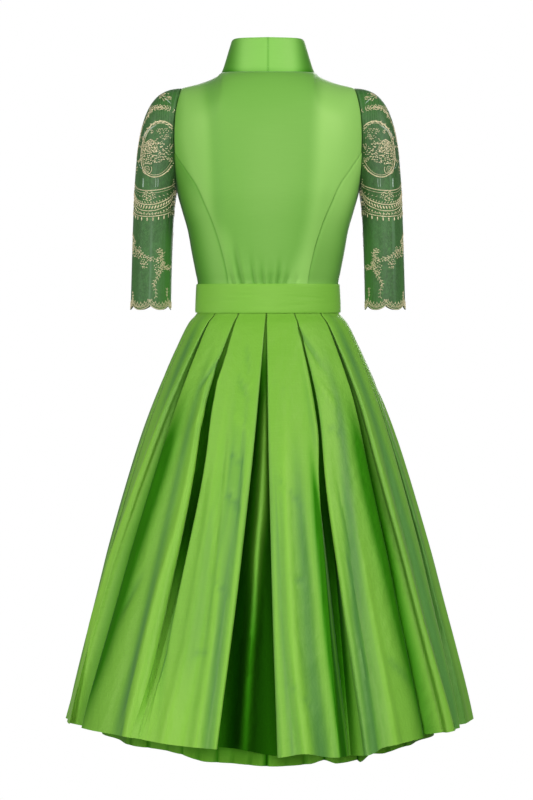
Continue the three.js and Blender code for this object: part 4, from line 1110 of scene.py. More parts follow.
def skirtRelief(turn, share, half):
    # Creases: height * exp(-(d / width)^2), d the distance round to a line that bends down the skirt.
    # Drags: the same across short bowed lines. Gives both heights together, and the painted shade and
    # highlight along the drags.
    relief, dragLightAndShade = np.zeros(turn.shape), np.zeros(turn.shape)
    for turns, low, high, wide, tall in skirtCreases:
        line = smooth({"at": creaseShares, "turn": turns}, "at", "turn", share)
        ridge = bell(roundTo(turn, line, half), wide * (0.45 + 0.55 * share))
        relief += tall * ridge * between(share, low, high, 0.25) * (0.4 + 0.6 * share)
    length = skirt["top"] - skirt["hem"]
    for turn0, share0, turn1, share1, bow, wide, tall in skirtDrags:
        around, down = math.radians(turn1 - turn0) * half, (share1 - share0) * length
        x0, y0 = roundTo(turn, turn0, half), (share - share0) * length
        reach = np.hypot(around, down)
        along = (x0 * around + y0 * down) / reach**2
        apart = (x0 * down - y0 * around) / reach - bow * 4 * along * (1 - along)
        drag = tall * bell(apart, wide) * between(along, -0.1, 1.1, 0.45)
        relief = relief + skirtShading["dragShape"] * drag
        dragLightAndShade = dragLightAndShade - skirtShading["dragLightAndShade"] * drag
    return relief, dragLightAndShade


def recessDark(turn, share):
    # How dark the painted shade inside a pleat is: the table read round the skirt and blended down it.
    levels = ("upper", "middle", "low", "hem")
    upper, middle, low, hem = (smooth(recessShade, "turn", level, turn) for level in levels)
    above, below = mix(upper, middle, step(share, 0.25, 0.5)), mix(low, hem, step(share, 0.8, 1.0))
    return mix(above, below, step(share, 0.5, 0.8))


def skirtShades(grid, turn, share, half, inside, lit, dragLightAndShade):
    # Painted light and shade. `hollow` is painted shade that grows with the depth inside a pleat or with
    # a band of painted shade. `slope` is the bands' and drags' painted grey sheen and shade, a brighter
    # painted highlight where it is below 0, and more grey where the cloth faces aside.
    normal = normalsOf(grid)
    radial = np.stack([np.sin(np.radians(turn)), -np.cos(np.radians(turn))], -1)
    sideways = normal[..., 0] * -radial[..., 1] + normal[..., 1] * radial[..., 0]
    facing = np.degrees(np.arctan2(sideways, (normal[..., :2] * radial).sum(-1)))
    grey, deep = np.zeros(turn.shape), np.zeros(turn.shape)
    for turns, low, high, wide, greyer, deeper in skirtLightAndShade:
        line = smooth({"at": toneShares, "turn": turns}, "at", "turn", share)
        band = bell(roundTo(turn, line, half), wide * (0.4 + 0.6 * share))
        band = band * between(share, low, high, 0.25, 0.3)
        grey = grey + greyer * band
        deep = deep + deeper * np.minimum(1, skirtShading["bandReach"] * band)
    dark = step(inside, *skirtShading["dark"]) * recessDark(turn, share) * (1 - lit)
    grey = grey + dragLightAndShade * (1 - step(inside, *skirtShading["noDrag"]))
    grey = grey + skirtShading["asideGreySheen"] * step(np.abs(facing), *skirtShading["aside"])
    fade = step(share, *skirtShading["belowWaist"]) * (1 - step(inside, *skirtShading["noGrey"]))
    return {"hollow": np.clip(np.maximum(dark, deep), 0, 1), "slope": np.clip(grey, -1, 1) * fade}


def skirtGrid(fromPleat, toPleat, rows, perControl):
    # The spline through the pleats' controls at every height, let down by the hem's drop and sag,
    # then moved out by its creases. Rows run up from the hem, closer together near the waist.
    nearWaist = np.linspace(0, 0.12, rows // 4, endpoint=False)
    share = np.concatenate([nearWaist, np.linspace(0.12, 1, rows - rows // 4)])[::-1]
    turns, asides, depths = skirtControls(share)
    flatZ = mix(skirt["top"], skirt["hem"], share)
    half = smooth(skirtOutline, "z", "half", flatZ)[:, None]
    x, y = ovalPoint(half, turns, asides, depths)
    first, last = (pleat * skirt["controls"] + skirt["valley"] for pleat in (fromPleat, toPleat))
    at = np.linspace(first, last, (last - first) * perControl + 1)
    x, y, inside = (spline(values, at) for values in (x, y, depths))
    turn, share = np.degrees(np.arctan2(x, skirt["centreY"] - y)), share[:, None]
    drop = smooth(hemDrop, "turn", "drop", turn) + skirt["sag"] * inside
    grid = np.stack([x, y, flatZ[:, None] - drop * share], axis=-1)
    for edge, beside in ((0, 1), (-1, -2)):
        grid[:, edge] += skirt["seamGap"] * unit(grid[:, beside] - grid[:, edge])
    relief, dragLightAndShade = skirtRelief(turn, share, half)
    relief *= 1 - step(inside, *skirtShading["noCrease"])   # they die away in the pleats
    # `lit` lifts the painted shade where the inner fold catches the light
    foldTurn, wide, high, lit = (smooth(innerFold, "at", k, share) for k in ("turn", "wide", "high", "lit"))
    ridge = bell(np.radians(turn - foldTurn) * half, wide) * step(inside, *skirtShading["innerFold"])
    ridge = ridge * step(share, 0.12, 0.25) * (np.abs(turn) < 30)
    grid = grid + normalsOf(grid) * (relief + high * ridge)[..., None]
    return grid, skirtShades(grid, turn, share, half, inside, lit * ridge, dragLightAndShade)


def makeSkirt():
    for node, (start, end, flat) in skirtPanels.items():
        grid, shades = skirtGrid(start, end, int(90 * fine), 5 if fine == 1 else 3)
        sewOn(node, grid, skirt, flat, shades=shades)
    print("skirt done")


# underskirt
underskirt = {
    "hem": -1150, "clear": 1.8, "hemClear": 13, "waves": 14, "waveDepth": 11, "foldDepth": 3.0, "shade": 1.1,
    "seamGap": 0.06,   # degrees
    "thick": 0.7, "flat": (0.94, 0.80),
    "material": underTaffeta, "slot": "underskirt_taffeta", "held": "hung",
}
underDrop = {
    "turn": [-180, -50, -30, -20, -8, 8, 14, 18.5, 22.5, 30.2, 31.4, 37, 42, 50, 60, 180],
    "drop": [0, -2, 0, 10, 12, 14, 13, 7, 13, 10, 15, 5, 7, 0, 1, 0],
}
underFolds = {  # folds of the back, which the front has too
    "turn": [-52, -44, -36, -29, -23, -17, -12, -6, -0.7, 6, 12, 18.6, 24, 30.6, 37.4, 44, 52],
    "wide": [9, 6, 8, 5, 7, 5, 7, 4, 4.5, 6, 5, 4, 6, 4, 5, 7, 8],
    "deep": [0.5, 0.7, 0.4, 0.6, 0.45, 0.7, 0.4, 0.6, 1.0, 0.35, 0.6, 0.85, 0.4, 0.8, 0.85, 0.5, 0.6],
}


def makeUnderskirt():
    # The skirt's ellipse moved inwards past its deepest pleat, with waves and small folds towards the hem.
    nearWaist = np.linspace(0, 0.15, 12, endpoint=False)
    share = np.concatenate([nearWaist, np.linspace(0.15, 1, int(34 * fine))])[::-1, None]
    deepest = np.max([alongSkirt(row[3], share) for row in pleatRows], axis=0)
    z = mix(skirt["top"], underskirt["hem"], share)
    half = smooth(skirtOutline, "z", "half", np.maximum(z, skirt["hem"]))
    inset = deepest + mix(underskirt["clear"], underskirt["hemClear"], share**0.6)
    gap = underskirt["seamGap"]
    for node, low, high in (("underskirt_back", -90, 90), ("underskirt_front", 90, 270)):
        turn = np.linspace(low + gap, high - gap, int(210 * fine))[None, :]
        wave = 0.5 - 0.5 * np.cos(underskirt["waves"] * np.radians(turn))
        x, y = ovalPoint(half, turn, 0, inset + underskirt["waveDepth"] * wave * share)
        drop = smooth(underDrop, "turn", "drop", turnApart(turn, 0))
        grid = np.stack([x, y, z - drop * share], axis=-1)
        hollow = 0.16 + 0.62 * (1 - step(share, 0.95, 0.995)) + 0 * x   # painted shade: it is in the dark under the skirt, above its hem
        for at, wide, deep in columnsOf(underFolds, "turn", "wide", "deep"):
            for way in (at, 180 - at):
                fold = deep * bell(roundTo(turn, way, half), wide) * step(share, 0.3, 0.8)
                grid = grid - normalsOf(grid) * (underskirt["foldDepth"] * fold)[..., None]
                # painted shade in its small folds
                hollow = np.maximum(hollow, underskirt["shade"] * fold)
        sewOn(node, grid, underskirt, shades={"hollow": hollow})
    print("underskirt done")


# sleeves
cuff = {"x": 204.9, "z": -402, "halfWidth": 35, "halfDepth": 38, "scallops": 6, "scallopDepth": 9}
rib = {
    "capReach": 85, "sideReach": 12, "underReach": 14, "capRise": 261, "underRise": 150, "backBow": 0.35,
    "capLean": 9, "underLean": 3, "cadThick": 1.2,
}
sleeve = {
    "thick": 0.8, "flat": (0.37, 0.40), "material": sleeveNet, "slot": "sleeve_lace", "held": "hung",
}


def armholePoint(turned):
    # The armhole's edge: 0 at the shoulder, 0.25 down the back, 0.5 under the arm, 0.75 up the front.
    tipZ = float(shoulderZ(bodice["tip"]))
    z = mix(tipZ, bodice["underarm"], (1 - np.cos(2 * pi * turned)) / 2)
    onBack = turned <= 0.5
    back, front = torsoPoint(armholeTurn(z, True), z), torsoPoint(armholeTurn(z, False), z)
    point = np.where(onBack[..., None], back, front)
    atTip = (np.abs(turned) < 1e-9)[..., None]
    return np.where(atTip, np.array([bodice["tip"], 0, tipZ]), point)


def sleevePoint(turned, along):
    # A rib is a cubic Bezier curve out of the armhole (along = 0) and down to the cuff (along = 1):
    # (1-t)^3 p0 + 3t(1-t)^2 p1 + 3t^2(1-t) p2 + t^3 p3. The cuff's oval has |sin| scallops.
    turned, along = np.broadcast_arrays(np.asarray(turned, float) % 1.0, np.asarray(along, float))
    angle = 2 * pi * turned
    onCap = (1 + np.cos(angle)) / 2
    under = 1 - onCap
    leave = unit(np.stack([onCap + 0.2 * under, -rib["backBow"] * np.sin(angle), -under], -1))
    lift = mix(rib["cadThick"] + 0.5, 0.8, onCap)
    p0 = armholePoint(turned) + np.stack([lift, 0 * angle, 0 * angle], -1)
    reach = rib["capReach"] * onCap**1.5 + rib["sideReach"] * np.abs(np.sin(angle))
    reach = reach + rib["underReach"] * under
    lobe = np.abs(np.sin(pi * (cuff["scallops"] * turned + 0.5)))
    p3 = np.stack([
        cuff["x"] + cuff["halfWidth"] * np.cos(angle), -cuff["halfDepth"] * np.sin(angle),
        cuff["z"] - cuff["scallopDepth"] * lobe**0.7,
    ], -1)
    rise = mix(rib["underRise"], rib["capRise"], onCap)
    p2 = p3 + np.stack([-mix(rib["underLean"], rib["capLean"], onCap), 0 * rise, rise], -1)
    p1 = p0 + leave * reach[..., None]
    t = along[..., None]
    return (1 - t) ** 3 * p0 + 3 * t * (1 - t) ** 2 * p1 + 3 * t**2 * (1 - t) * p2 + t**3 * p3


sleeveFolds = {  # soft folds: where round the sleeve at both ends, shares of its length, width, height
    "top":    [0.34, 0.20, 0.12, 0.45, 0.62, 0.80, 0.92],
    "bottom": [0.28, 0.16, 0.06, 0.40, 0.66, 0.84, 0.96],
    "from":   [0.25, 0.45, 0.3, 0.15, 0.3, 0.35, 0.4],
    "to":     [0.95, 1.1, 0.95, 0.75, 0.95, 1.1, 1.0],
    "wide":   [0.030, 0.026, 0.030, 0.028, 0.030, 0.028, 0.026],
    "high":   [-1.1, 0.9, -0.9, -1.2, -1.0, 0.9, -0.8],
}


def sleeveSurface(turned, along):
    # The sleeve's middle surface with its soft folds, and its outward normals from small steps.
    e = 1e-4
    roundStep = sleevePoint(turned + e, along) - sleevePoint(turned - e, along)
    down = sleevePoint(turned, np.clip(along + e, 0, 1)) - sleevePoint(turned, np.clip(along - e, 0, 1))
    normal = np.cross(roundStep, down)
    normal /= np.maximum(np.linalg.norm(normal, axis=-1, keepdims=True), 1e-12)
    depth = 0
    for top, bottom, low, high, wide, tall in columnsOf(
            sleeveFolds, "top", "bottom", "from", "to", "wide", "high"):
        away = (turned - mix(top, bottom, along) + 0.5) % 1 - 0.5
        depth = depth + tall * bell(away, wide) * between(along, low, high, 0.2)
    return sleevePoint(turned, along) + normal * np.asarray(depth)[..., None], normal


def sleeveLightAndShade(turned, z):
    # Painted shade at the middles of both faces above and under the medallion and by the body, and a
    # painted brighter, lit green under the arm and on the shoulder.
    inner = np.minimum(np.abs(turned - 0.42), np.abs(turned - 0.58))
    middle = np.minimum(np.abs(turned - 0.25), np.abs(turned - 0.75))
    hollow = 0.55 * bell(middle, 0.11) * bell(z + 138, 42) + 0.4 * bell(inner, 0.10) * bell(z + 205, 42)
    hollow = hollow + 0.3 * bell(middle - 0.14, 0.05)
    slope = 0.9 * bell(inner, 0.075) * (1 - step(z, -300, -245))
    slope = slope + 0.5 * bell(z + 40, 26) * bell(middle - 0.1, 0.1)
    slope = slope + 0.35 * bell(middle - 0.16, 0.03) * (1 - step(z, -200, -120))
    return {"hollow": hollow, "slope": slope}


def makeSleeves():
    along = np.linspace(1, 0, int(76 * fine))[:, None]
    turned = np.linspace(1, 0, int(102 * fine), endpoint=False)[None, :]   # against the clock, from above
    grid, _ = sleeveSurface(*np.broadcast_arrays(turned, along))
    lightAndShade = sleeveLightAndShade(turned, grid[..., 2])
    mirroredLightAndShade = {key: value[:, ::-1] for key, value in lightAndShade.items()}
    for node, one, shades in (("sleeve_right", grid, lightAndShade), ("sleeve_left", mirrored(grid), mirroredLightAndShade)):
        sewOn(node, one, sleeve, around=True, shades=shades)
    print("sleeves done")


# embroidery on the sleeves
# Placed by u, millimetres round the sleeve from the middle of its back (+ towards the body), and by
# height z. Every stroke of thread is five places long.
thread = {
    "radius": 37.0, "places": 5, "flatten": 0.7, "narrow": 0.74, "sunk": 0.12,
    "axisX": 200, "axisLean": 0.04, "axisZ": -250,   # the sleeve's axis, from which u is seen
    "across": [-0.5, -0.24, 0.24, 0.5], "lift": [0.0, 1.0, 1.0, 0.0],   # its section, in widths and heights
    "slot": "sleeve_lace",
}
strokeShare = np.linspace(0, 1, thread["places"])


def sleeveAt(u, z, middle):
    # Newton's method for the place (turned, along) on the sleeve at that height, seen from its axis
    # at the angle u / 37 from `middle` (0 the back, 180 the front).
    angle = middle + np.degrees(u / thread["radius"])
    turned, down = 0.25 + angle / 360, np.clip((-z - 10) / 400, 0.02, 0.98)
    along = 1 - (1 - down) ** 1.25   # a first guess

    def read(t, a):
        point = sleevePoint(t, a)
        axis = thread["axisX"] - thread["axisLean"] * (point[..., 2] - thread["axisZ"])
        seen = np.degrees(np.arctan2(axis - point[..., 0], -point[..., 1]))
        return turnApart(seen, angle), point[..., 2] - z

    e = 1e-4
    for _ in range(14):
        f, g = read(turned, along)
        ft, gt = read(turned + e, along)
        fa, ga = read(turned, np.clip(along + e, 0, 1))
        ft, gt, fa, ga = (ft - f) / e, (gt - g) / e, (fa - f) / e, (ga - g) / e
        det = ft * ga - fa * gt
        det = np.where(np.abs(det) < 1e-6, 1e-6, det)
        turned = turned - np.clip((f * ga - fa * g) / det, -0.04, 0.04)
        along = np.clip(along - np.clip((ft * g - f * gt) / det, -0.06, 0.06), 0.004, 0.9999)
    f, g = read(turned, along)
    return turned, along, (np.abs(f) < 1.5) & (np.abs(g) < 1.0)


def pathOf(places):
    # A smooth line through given (u, z), read at a distance along it, and its length.
    places = np.array(places, float)
    table = {"at": arcLength(places), "u": places[:, 0], "z": places[:, 1]}

    def read(far):
        return np.stack([smooth(table, "at", "u", far), smooth(table, "at", "z", far)], -1)

    return read, table["at"][-1]


class Threads:
    # Strokes of thread: each has its places (u, z) with a width at each, and a height.

    def __init__(self):
        self.places, self.widths, self.heights = [], [], []

    def stroke(self, places, width, height, taper):
        # Ends are `taper` as wide as the middle, by sin^0.6.
        swell = np.sin(pi * np.clip(strokeShare, 0.02, 0.98)) ** 0.6
        self.places.append(places)
        self.widths.append(thread["narrow"] * width * (taper + (1 - taper) * swell))
        self.heights.append(thread["flatten"] * height)

    def line(self, places, width=2.0, height=0.7, piece=11.0):
        # A smooth line in pieces of about 11 mm.
        read, length = pathOf(places)
        count = max(1, int(round(length / piece)))
        for k in range(count):
            self.stroke(read((k + strokeShare) / count * length), width, height, 0.9)

    def ring(self, u, z, ru, rz, width=2.0, height=0.7, lean=0.0, start=0.0, end=360.0, parts=2):
        # Part of an ellipse that leans by `lean` millimetres from its middle to its top.
        for k in range(parts):
            a = np.radians(mix(start, end, (k + strokeShare) / parts))
            across = u + ru * np.cos(a) + lean * np.sin(a)
            self.stroke(np.stack([across, z + rz * np.sin(a)], -1), width, height, 0.9)

    def leaf(self, u, z, angle, length, width=2.4, height=0.8, curl=0.0):
        # A satin-stitch leaf: pointed at both ends, bent by `curl` of its length.
        a = math.radians(angle)
        ahead, side = strokeShare * length, curl * length * 4 * strokeShare * (1 - strokeShare)
        across = u + ahead * math.cos(a) - side * math.sin(a)
        up = z + ahead * math.sin(a) + side * math.cos(a)
        self.stroke(np.stack([across, up], -1), width, height, 0.12)

    def flower(self, u, z, radius, petals=6, turn=0.0):
        start, length, width = 0.42 * radius, 0.72 * radius, 0.46 * radius
        for k in range(petals):
            angle = turn + 360 * k / petals
            a = math.radians(angle)
            self.leaf(u + start * math.cos(a), z + start * math.sin(a), angle, length, width, 0.9)

    def stem(self, places, every=5.0, length=5.0, width=1.4, spread=48.0, leafWidth=2.0):
        # A line with leaves in pairs along it.
        self.line(places, width)
        read, whole = pathOf(places)
        for far in np.arange(every * 0.6, whole, 1.45 * every):
            here, ahead = read(far), read(min(far + 1, whole))
            way = math.degrees(math.atan2(*(ahead - here)[::-1]))
            for side in (-1, 1):
                angle = way + side * spread + loose.normal(0, 9)
                self.leaf(*here, angle, length * loose.uniform(0.55, 1.25), 0.8 * leafWidth, 0.8, 0.14 * side)

    def specks(self, u, z, wide, high, pitch=3.8, size=2.7, width=2.1):
        # Short stitches strewn on a loose lattice inside an oval.
        for k in range(-int(high / pitch), int(high / pitch) + 1):
            for j in range(-int(wide / pitch) - 1, int(wide / pitch) + 1):
                du = (j + 0.5 * (k % 2)) * pitch + loose.normal(0, 0.17 * pitch)
                dz = k * pitch * 0.9 + loose.normal(0, 0.17 * pitch)
                if (du / wide) ** 2 + (dz / high) ** 2 < loose.uniform(0.7, 1.1):
                    angle, length = loose.uniform(-70, 70), size * loose.uniform(0.8, 1.2)
                    self.leaf(u + du - size / 2, z + dz, angle, length, width, 1.0, loose.uniform(-0.2, 0.2))

    def fan(self, u, z, angle, spread, count, length, width):
        # Leaves from one place, the outer ones shorter.
        for k in range(count):
            fromMiddle = k - (count - 1) / 2
            turned = angle + spread * fromMiddle / (count - 1)
            self.leaf(u, z, turned, length * (1 - 0.25 * abs(fromMiddle) / count), width)


loose = np.random.default_rng(11)
medallion = {"u": 4.5, "z": -134, "ru": 25, "rz": 48, "lean": 3, "lineApart": 3.4, "arc": 7.2, "beads": 5.6}
rose = {"u": -6, "z": -123.5, "radius": 4.8}
vase = {"u": -9, "z": -168.5, "ru": 6.4, "rz": 8.5}
band = {"u": -5, "half": 42, "from": -60, "to": 56}   # the swag band and how far it reaches
bandLines = [  # its lines: height of the ends, sag in the middle, width and height of the thread
    (-190, 15, 2.2, 0.9), (-194, 15.5, 1.0, 0.7), (-206, 23, 2.6, 0.9), (-216, 24, 2.2, 0.8),
    (-238, 11.5, 2.2, 0.9), (-234, 11.5, 0.9, 0.6),
]
bouquetSpecks = [  # ovals of specks: u, z, half width, half height, pitch, stitch length and width
    (-1, -138, 17, 24, 3.1, 2.5, 2.2), (-5, -132, 10, 16, 3.4, 2.4, 2.2), (12, -106, 9, 13, 4.0, 2.4, 1.8),
    (19, -140, 5, 20, 4.2, 2.4, 1.8), (-15, -132, 4, 22, 4.2, 2.4, 1.8),
]
sprigs = [  # sprigs round the bouquet: foot (u, z) and way
    (-19, -118, 118), (-22, -130, 160), (-20, -150, 200), (12, -118, 70), (17, -130, 30), (15, -150, -25),
    (-4, -108, 95), (3, -106, 70),
]
garlandFlowers = [  # u, z, radius
    (-45, -292, 3.4), (-37, -298, 3.6), (-43, -305, 3.4), (-20, -304, 3.2), (3, -323, 4.2), (29, -338, 3.8),
    (11, -309, 3.0),
]
garlandStems = [  # places, then spacing and length of the leaves, line width, spread, leaf width
    ([(-32, -302), (-24, -308), (-14, -315), (-4, -320), (3, -324)], 4.0, 4.6, 1.2, 58, 1.9),
    ([(8, -324), (17, -321), (20, -314), (16, -305)], 3.6, 4.6, 1.1, 50, 1.9),
    ([(19, -320), (22, -332), (17, -345), (10, -358), (6, -366)], 4.0, 5.4, 1.1, 46, 2.1),
    ([(22, -328), (28, -338), (38, -340), (47, -334)], 4.4, 4.2, 1.1, 55, 1.8),
    ([(6, -366), (10, -376), (11, -388)], 4.6, 3.8, 0.9, 50, 1.7),
    ([(-38, -378), (-37, -388), (-38, -396)], 3.4, 4.2, 1.1, 60, 1.9),
    ([(34, -388), (34, -380), (34, -372)], 3.6, 4.0, 1.0, 55, 1.8),
]
looseSpecks = [  # ovals of specks round the garland and the swag: u, z, half width, half height
    (-41, -303, 7, 12), (-24, -316, 12, 7), (-10, -330, 7, 11), (15, -336, 7, 15), (33, -337, 9, 5),
    (16, -312, 5, 8), (0, -62, 20, 5), (-14, -72, 4, 8), (15, -42, 9, 9), (-33, -106, 4, 16),
    (41, -106, 5, 22),
]


def stitchShoulder(gold, pale):
    # Shoulder sprig, the leafy swag over the medallion, and the sprays that fall beside it.
    gold.fan(14, -36, 250, 170, 9, 9.0, 2.4)
    for u, z, radius in ((12, -38, 4.2), (21, -45, 3.4), (5, -31, 3.4)):
        gold.flower(u, z, radius)
    pale.leaf(15, -44, -62, 13, 2.6)
    swag = [(26, -70), (16, -64), (5, -62), (-7, -65), (-14, -74), (-19, -82)]
    gold.stem(swag, 3.8, 5.2, 1.6, 55, 2.2)
    for u, z, radius in ((8, -63, 3.4), (-2, -61.5, 3.2), (-10, -68, 3.2), (17, -66, 2.8), (-33, -102, 3.0)):
        gold.flower(u, z, radius)
    spray = [(-19, -82), (-27, -93), (-34, -104), (-38, -114), (-41, -125), (-46, -134), (-50, -146)]
    gold.stem(spray, 5.2, 5.0, 1.4, 40, 2.0)
    gold.stem([(34, -86), (40, -98), (44, -112), (47, -128)], 5.4, 4.8, 1.3, 40, 1.9)


def stitchMedallion(gold):
    # Oval medallion: double line, leafy along the top, beaded towards the body.
    u, z, ru, rz, lean = (medallion[k] for k in ("u", "z", "ru", "rz", "lean"))
    apart = medallion["lineApart"]
    gold.ring(u, z, ru, rz, 2.7, 0.9, lean, parts=20)
    gold.ring(u, z, ru - apart, rz - apart, 1.2, 0.6, lean, parts=16)
    for k in range(17):
        a = math.radians(28 + medallion["arc"] * k)
        across = u + (ru - 0.5) * math.cos(a) + lean * math.sin(a)
        tilt = math.degrees(a) + 90 + (28 if k % 2 else -28)
        gold.leaf(across, z + (rz - 1) * math.sin(a), tilt, 5.4, 2.4, 1.0)
    for k in range(15):
        a = math.radians(-52 + medallion["beads"] * k)
        across = u - 1 + (ru + 0.5) * math.cos(a) + lean * math.sin(a)
        gold.leaf(across, z + (rz + 0.5) * math.sin(a), 0, 2.6, 2.5, 1.2)


def stitchBouquet(gold, pale):
    # A ringed rose, specks packed round it, sprigs, and a small vase.
    gold.ring(rose["u"], rose["z"], rose["radius"], rose["radius"], 1.5, 1.1, parts=3)
    gold.ring(rose["u"], rose["z"], 2.5, 2.5, 1.1, 1.2)
    gold.leaf(rose["u"] - 0.8, rose["z"], 0, 1.8, 1.6, 1.4)
    for row in bouquetSpecks:
        gold.specks(*row)
    for u, z, way in sprigs:
        a = math.radians(way)
        middle = (u + 5 * math.cos(a), z + 5 * math.sin(a))
        tip = (u + 9 * math.cos(a), z + 9 * math.sin(a) - 0.8)
        gold.stem([(u, z), middle, tip], 2.6, 3.2, 1.0, 46, 1.5)
    pale.leaf(-15, -114, 52, 26, 4.4, 0.7, 0.12)
    pale.leaf(-19, -113, 76, 12, 3.0, 0.7, -0.1)
    pale.leaf(-23, -164, -28, 9, 2.0)
    pale.leaf(-26, -158, -50, 7, 1.8)
    gold.ring(vase["u"], vase["z"], vase["ru"], vase["rz"], 1.6, 1.0, 0, 150, 390, 6)
    gold.ring(vase["u"], vase["z"], 3.4, 5.4, 1.2, 0.9, parts=3)
    gold.line([(-15, -160), (-9, -158.5), (-3, -160)], 1.8)
    gold.flower(vase["u"], vase["z"], 2.6)
    pale.leaf(24, -168, 24, 10, 2.0)


def bandZ(u, top, deep):
    # A line of the swag band: top - deep (1 - ((u - middle) / half)^2), level beyond its ends.
    return float(top - deep * (1 - min(1, ((u - band["u"]) / band["half"]) ** 2)))


def stitchBand(gold, pale):
    # Short pillars, then the deep swag band with its beads, stitches and drops.
    for u, wide in ((-14.5, 3.6), (3.0, 1.5), (6.0, 1.5)):
        pale.line([(u, -184), (u + 0.3, -191), (u, -199)], wide, 0.6)
    for top, deep, width, height in bandLines:
        places = [(u, bandZ(u, top, deep)) for u in range(band["from"], band["to"] + 1, 6)]
        gold.line(places, width, height, 10.0)
    for u in np.arange(band["from"], 54, 4.2):   # beads between two lines, stitches on both sides of them
        gold.leaf(u, bandZ(u, -213.0, 24), 70, 6.2, 3.6, 1.2)
        gold.leaf(u + 2.1, bandZ(u + 2.1, -203.0, 21), -60, 3.6, 2.0, 1.0)
        gold.leaf(u + 1.2, bandZ(u + 1.2, -222.0, 22), -80, 3.6, 2.0, 1.0)
    for u in np.arange(-58, 54, 6.0):
        gold.leaf(u, bandZ(u, -199.0, 17), -30, 3.2, 1.8, 0.9)
        gold.leaf(u + 3, bandZ(u + 3, -229.5, 16), 60, 3.4, 1.8, 0.9)
    gold.specks(-6, -214, 9, 12, 3.3, 2.6, 2.2)
    gold.specks(36, -190, 9, 13, 4.4, 2.6, 1.9)
    gold.specks(-34, -166, 5, 14, 5.0, 2.4, 1.6)
    for u in np.arange(-59, band["to"], 8.6):
        gold.leaf(u, bandZ(u, -239.5, 11.5), -90, 6.6, 3.2, 1.1)


def stitchGarland(gold):
    # Garland of sprays and flowers lower down.
    gold.stem([(-52, -276), (-46, -281), (-38, -288), (-31, -293)], 4.0, 4.2, 1.3, 50, 1.8)
    for u, z, radius in garlandFlowers:
        gold.flower(u, z, radius, 5, 50 * loose.random())
    for row in garlandStems:
        gold.stem(*row)
    for u, z, wide, high in looseSpecks:
        gold.specks(u, z, wide + 1, high + 1, 3.5, 2.6, 2.1)


def layThreads(name, threads, mirror, material, front):
    # Finds every stroke's places on that face of the sleeve and lays the ones that lie on it.
    places = np.array(threads.places)
    turned, along, found = sleeveAt(places[..., 0], places[..., 1], 180.0 if front else 0.0)
    keep = found.all(axis=1)
    widths, heights = np.array(threads.widths)[keep], np.array(threads.heights)[keep]
    threadMesh(name, turned[keep], along[keep], widths, heights, mirror, material)


def threadMesh(name, turned, along, widths, heights, mirror, material):
    # Each stroke becomes a low closed ridge on the cloth's outside: four points across it at every
    # place, at shares of its width, the inner two lifted by height * sqrt(width / widest).
    point, normal = sleeveSurface(turned, along)
    way = np.gradient(point, axis=1)
    way /= np.maximum(np.linalg.norm(way, axis=-1, keepdims=True), 1e-9)
    side = np.cross(normal, way)
    side /= np.maximum(np.linalg.norm(side, axis=-1, keepdims=True), 1e-9)
    base = point + normal * (sleeve["thick"] / 2 - thread["sunk"])
    across, lift = np.array(thread["across"]), np.array(thread["lift"])
    rise = heights[:, None] * (widths / widths.max(axis=1, keepdims=True)) ** 0.5 + thread["sunk"]
    points = (base[:, :, None] + side[:, :, None] * (across * widths[..., None])[..., None]
              + normal[:, :, None] * (lift * rise[..., None])[..., None])
    if mirror:
        points = points * np.array([-1, 1, 1])
    start = (np.arange(len(points)) * thread["places"] * 4)[:, None]
    last = (thread["places"] - 1) * 4
    i, j = np.meshgrid(np.arange(thread["places"] - 1), np.arange(4), indexing="ij")
    a, b = i * 4 + j, i * 4 + (j + 1) % 4
    sides = np.stack([a, b, b + 4, a + 4], -1).reshape(-1, 4)
    local = np.concatenate([sides, [[3, 2, 1, 0]], [[last, last + 1, last + 2, last + 3]]])
    if not mirror:
        local = local[:, ::-1]
    faces = (start[..., None] + local[None]).reshape(-1, 4)
    flat = points.reshape(-1, 3)
    uv = flat[faces.ravel()][:, [0, 2]] / 1000
    piece = placeMesh(name, flat, faces.tolist(), uv, material, 60.0)
    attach(piece, "root")


cuffBorder = {
    "loops": 34, "archHalf": 0.38, "archFoot": 3.4, "archHigh": 5.6, "edge": 1.1, "upperLine": 10.4,
    "wave": 0.9, "stalk": (3.6, 7.2), "tip": (11.4, 14.2),
}


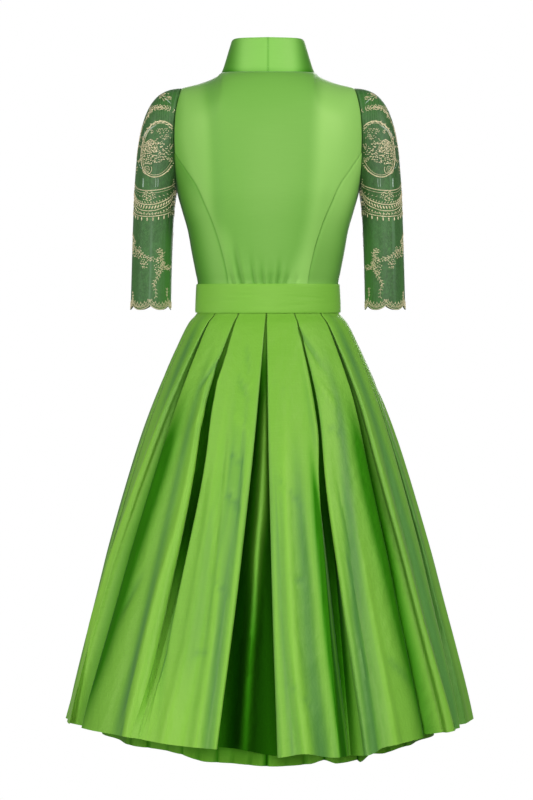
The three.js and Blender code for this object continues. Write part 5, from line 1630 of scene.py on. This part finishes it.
def makeCuffBorder(name, mirror):
    # Scalloped border: a row of arches along the edge over a line, with a wavy line and stitches above.
    # Strokes are given by place round the cuff and height over it.
    loops, level = cuffBorder["loops"], np.ones(thread["places"])
    turned, above, widths, heights = [], [], [], []

    def put(t, over, width, height, ends=0.9):
        turned.append(t)
        above.append(over)
        widths.append(width * (ends + (1 - ends) * np.sin(pi * strokeShare)))
        heights.append(height)

    for k in range(loops):
        middle = (k + 0.5) / loops
        for low in (-180, -90):   # an arch open at its foot
            a = np.radians(low + 90 * strokeShare)
            arch = middle + cuffBorder["archHalf"] / loops * np.cos(a)
            put(arch, cuffBorder["archFoot"] - cuffBorder["archHigh"] * np.sin(a), 0.9, 0.7)
        onward = (k + strokeShare) / loops
        put(middle * level, mix(*cuffBorder["stalk"], strokeShare), 1.5, 0.9, 0.3)
        put(onward, cuffBorder["edge"] * level, 1.5, 0.7)
        put(onward, cuffBorder["upperLine"] + cuffBorder["wave"] * np.cos(2 * pi * strokeShare), 0.7, 0.6)
        put(k / loops * level, mix(*cuffBorder["tip"], strokeShare), 1.4, 0.9, 0.3)
    turned, above = np.array(turned), np.array(above)
    rise = mix(rib["underRise"], rib["capRise"], (1 + np.cos(2 * pi * turned)) / 2)
    along = np.clip(1 - above / (3 * rise), 0, 0.9995)
    threadMesh(name, turned, along, np.array(widths), np.array(heights), mirror, embroideryGold)


def makeEmbroidery():
    gold, pale = Threads(), Threads()
    stitchShoulder(gold, pale)
    stitchMedallion(gold)
    stitchBouquet(gold, pale)
    stitchBand(gold, pale)
    stitchGarland(gold)
    for side, mirror in (("right", False), ("left", True)):
        for face, front in (("back", False), ("front", True)):
            layThreads("embroidery_%s_%s" % (side, face), gold, mirror, embroideryGold, front)
            layThreads("pale_embroidery_%s_%s" % (side, face), pale, mirror, embroideryPale, front)
        makeCuffBorder("cuff_border_" + side, mirror)
    print("embroidery done:", len(gold.heights), "strokes a face")


def makeFloor():
    half, z = 6, studio["floorZ"]
    corners = [(-half, -half, z), (half, -half, z), (half, half, z), (-half, half, z)]
    mesh = bpy.data.meshes.new("floor")
    mesh.from_pydata(corners, [], [(0, 1, 2, 3)])
    paint = bpy.data.materials.new("paleFloor")
    paint.use_nodes = True
    paleStudio(paint.node_tree, "ShaderNodeOutputMaterial", "ShaderNodeEmission")
    mesh.materials.append(paint)
    floor = bpy.data.objects.new("floor", mesh)
    bpy.context.collection.objects.link(floor)


makeBodice()
makeFrontOpening()
makeCollar()
makeBelt()
makeSkirt()
makeUnderskirt()
makeSleeves()
makeEmbroidery()
makeFloor()

print("scene done")
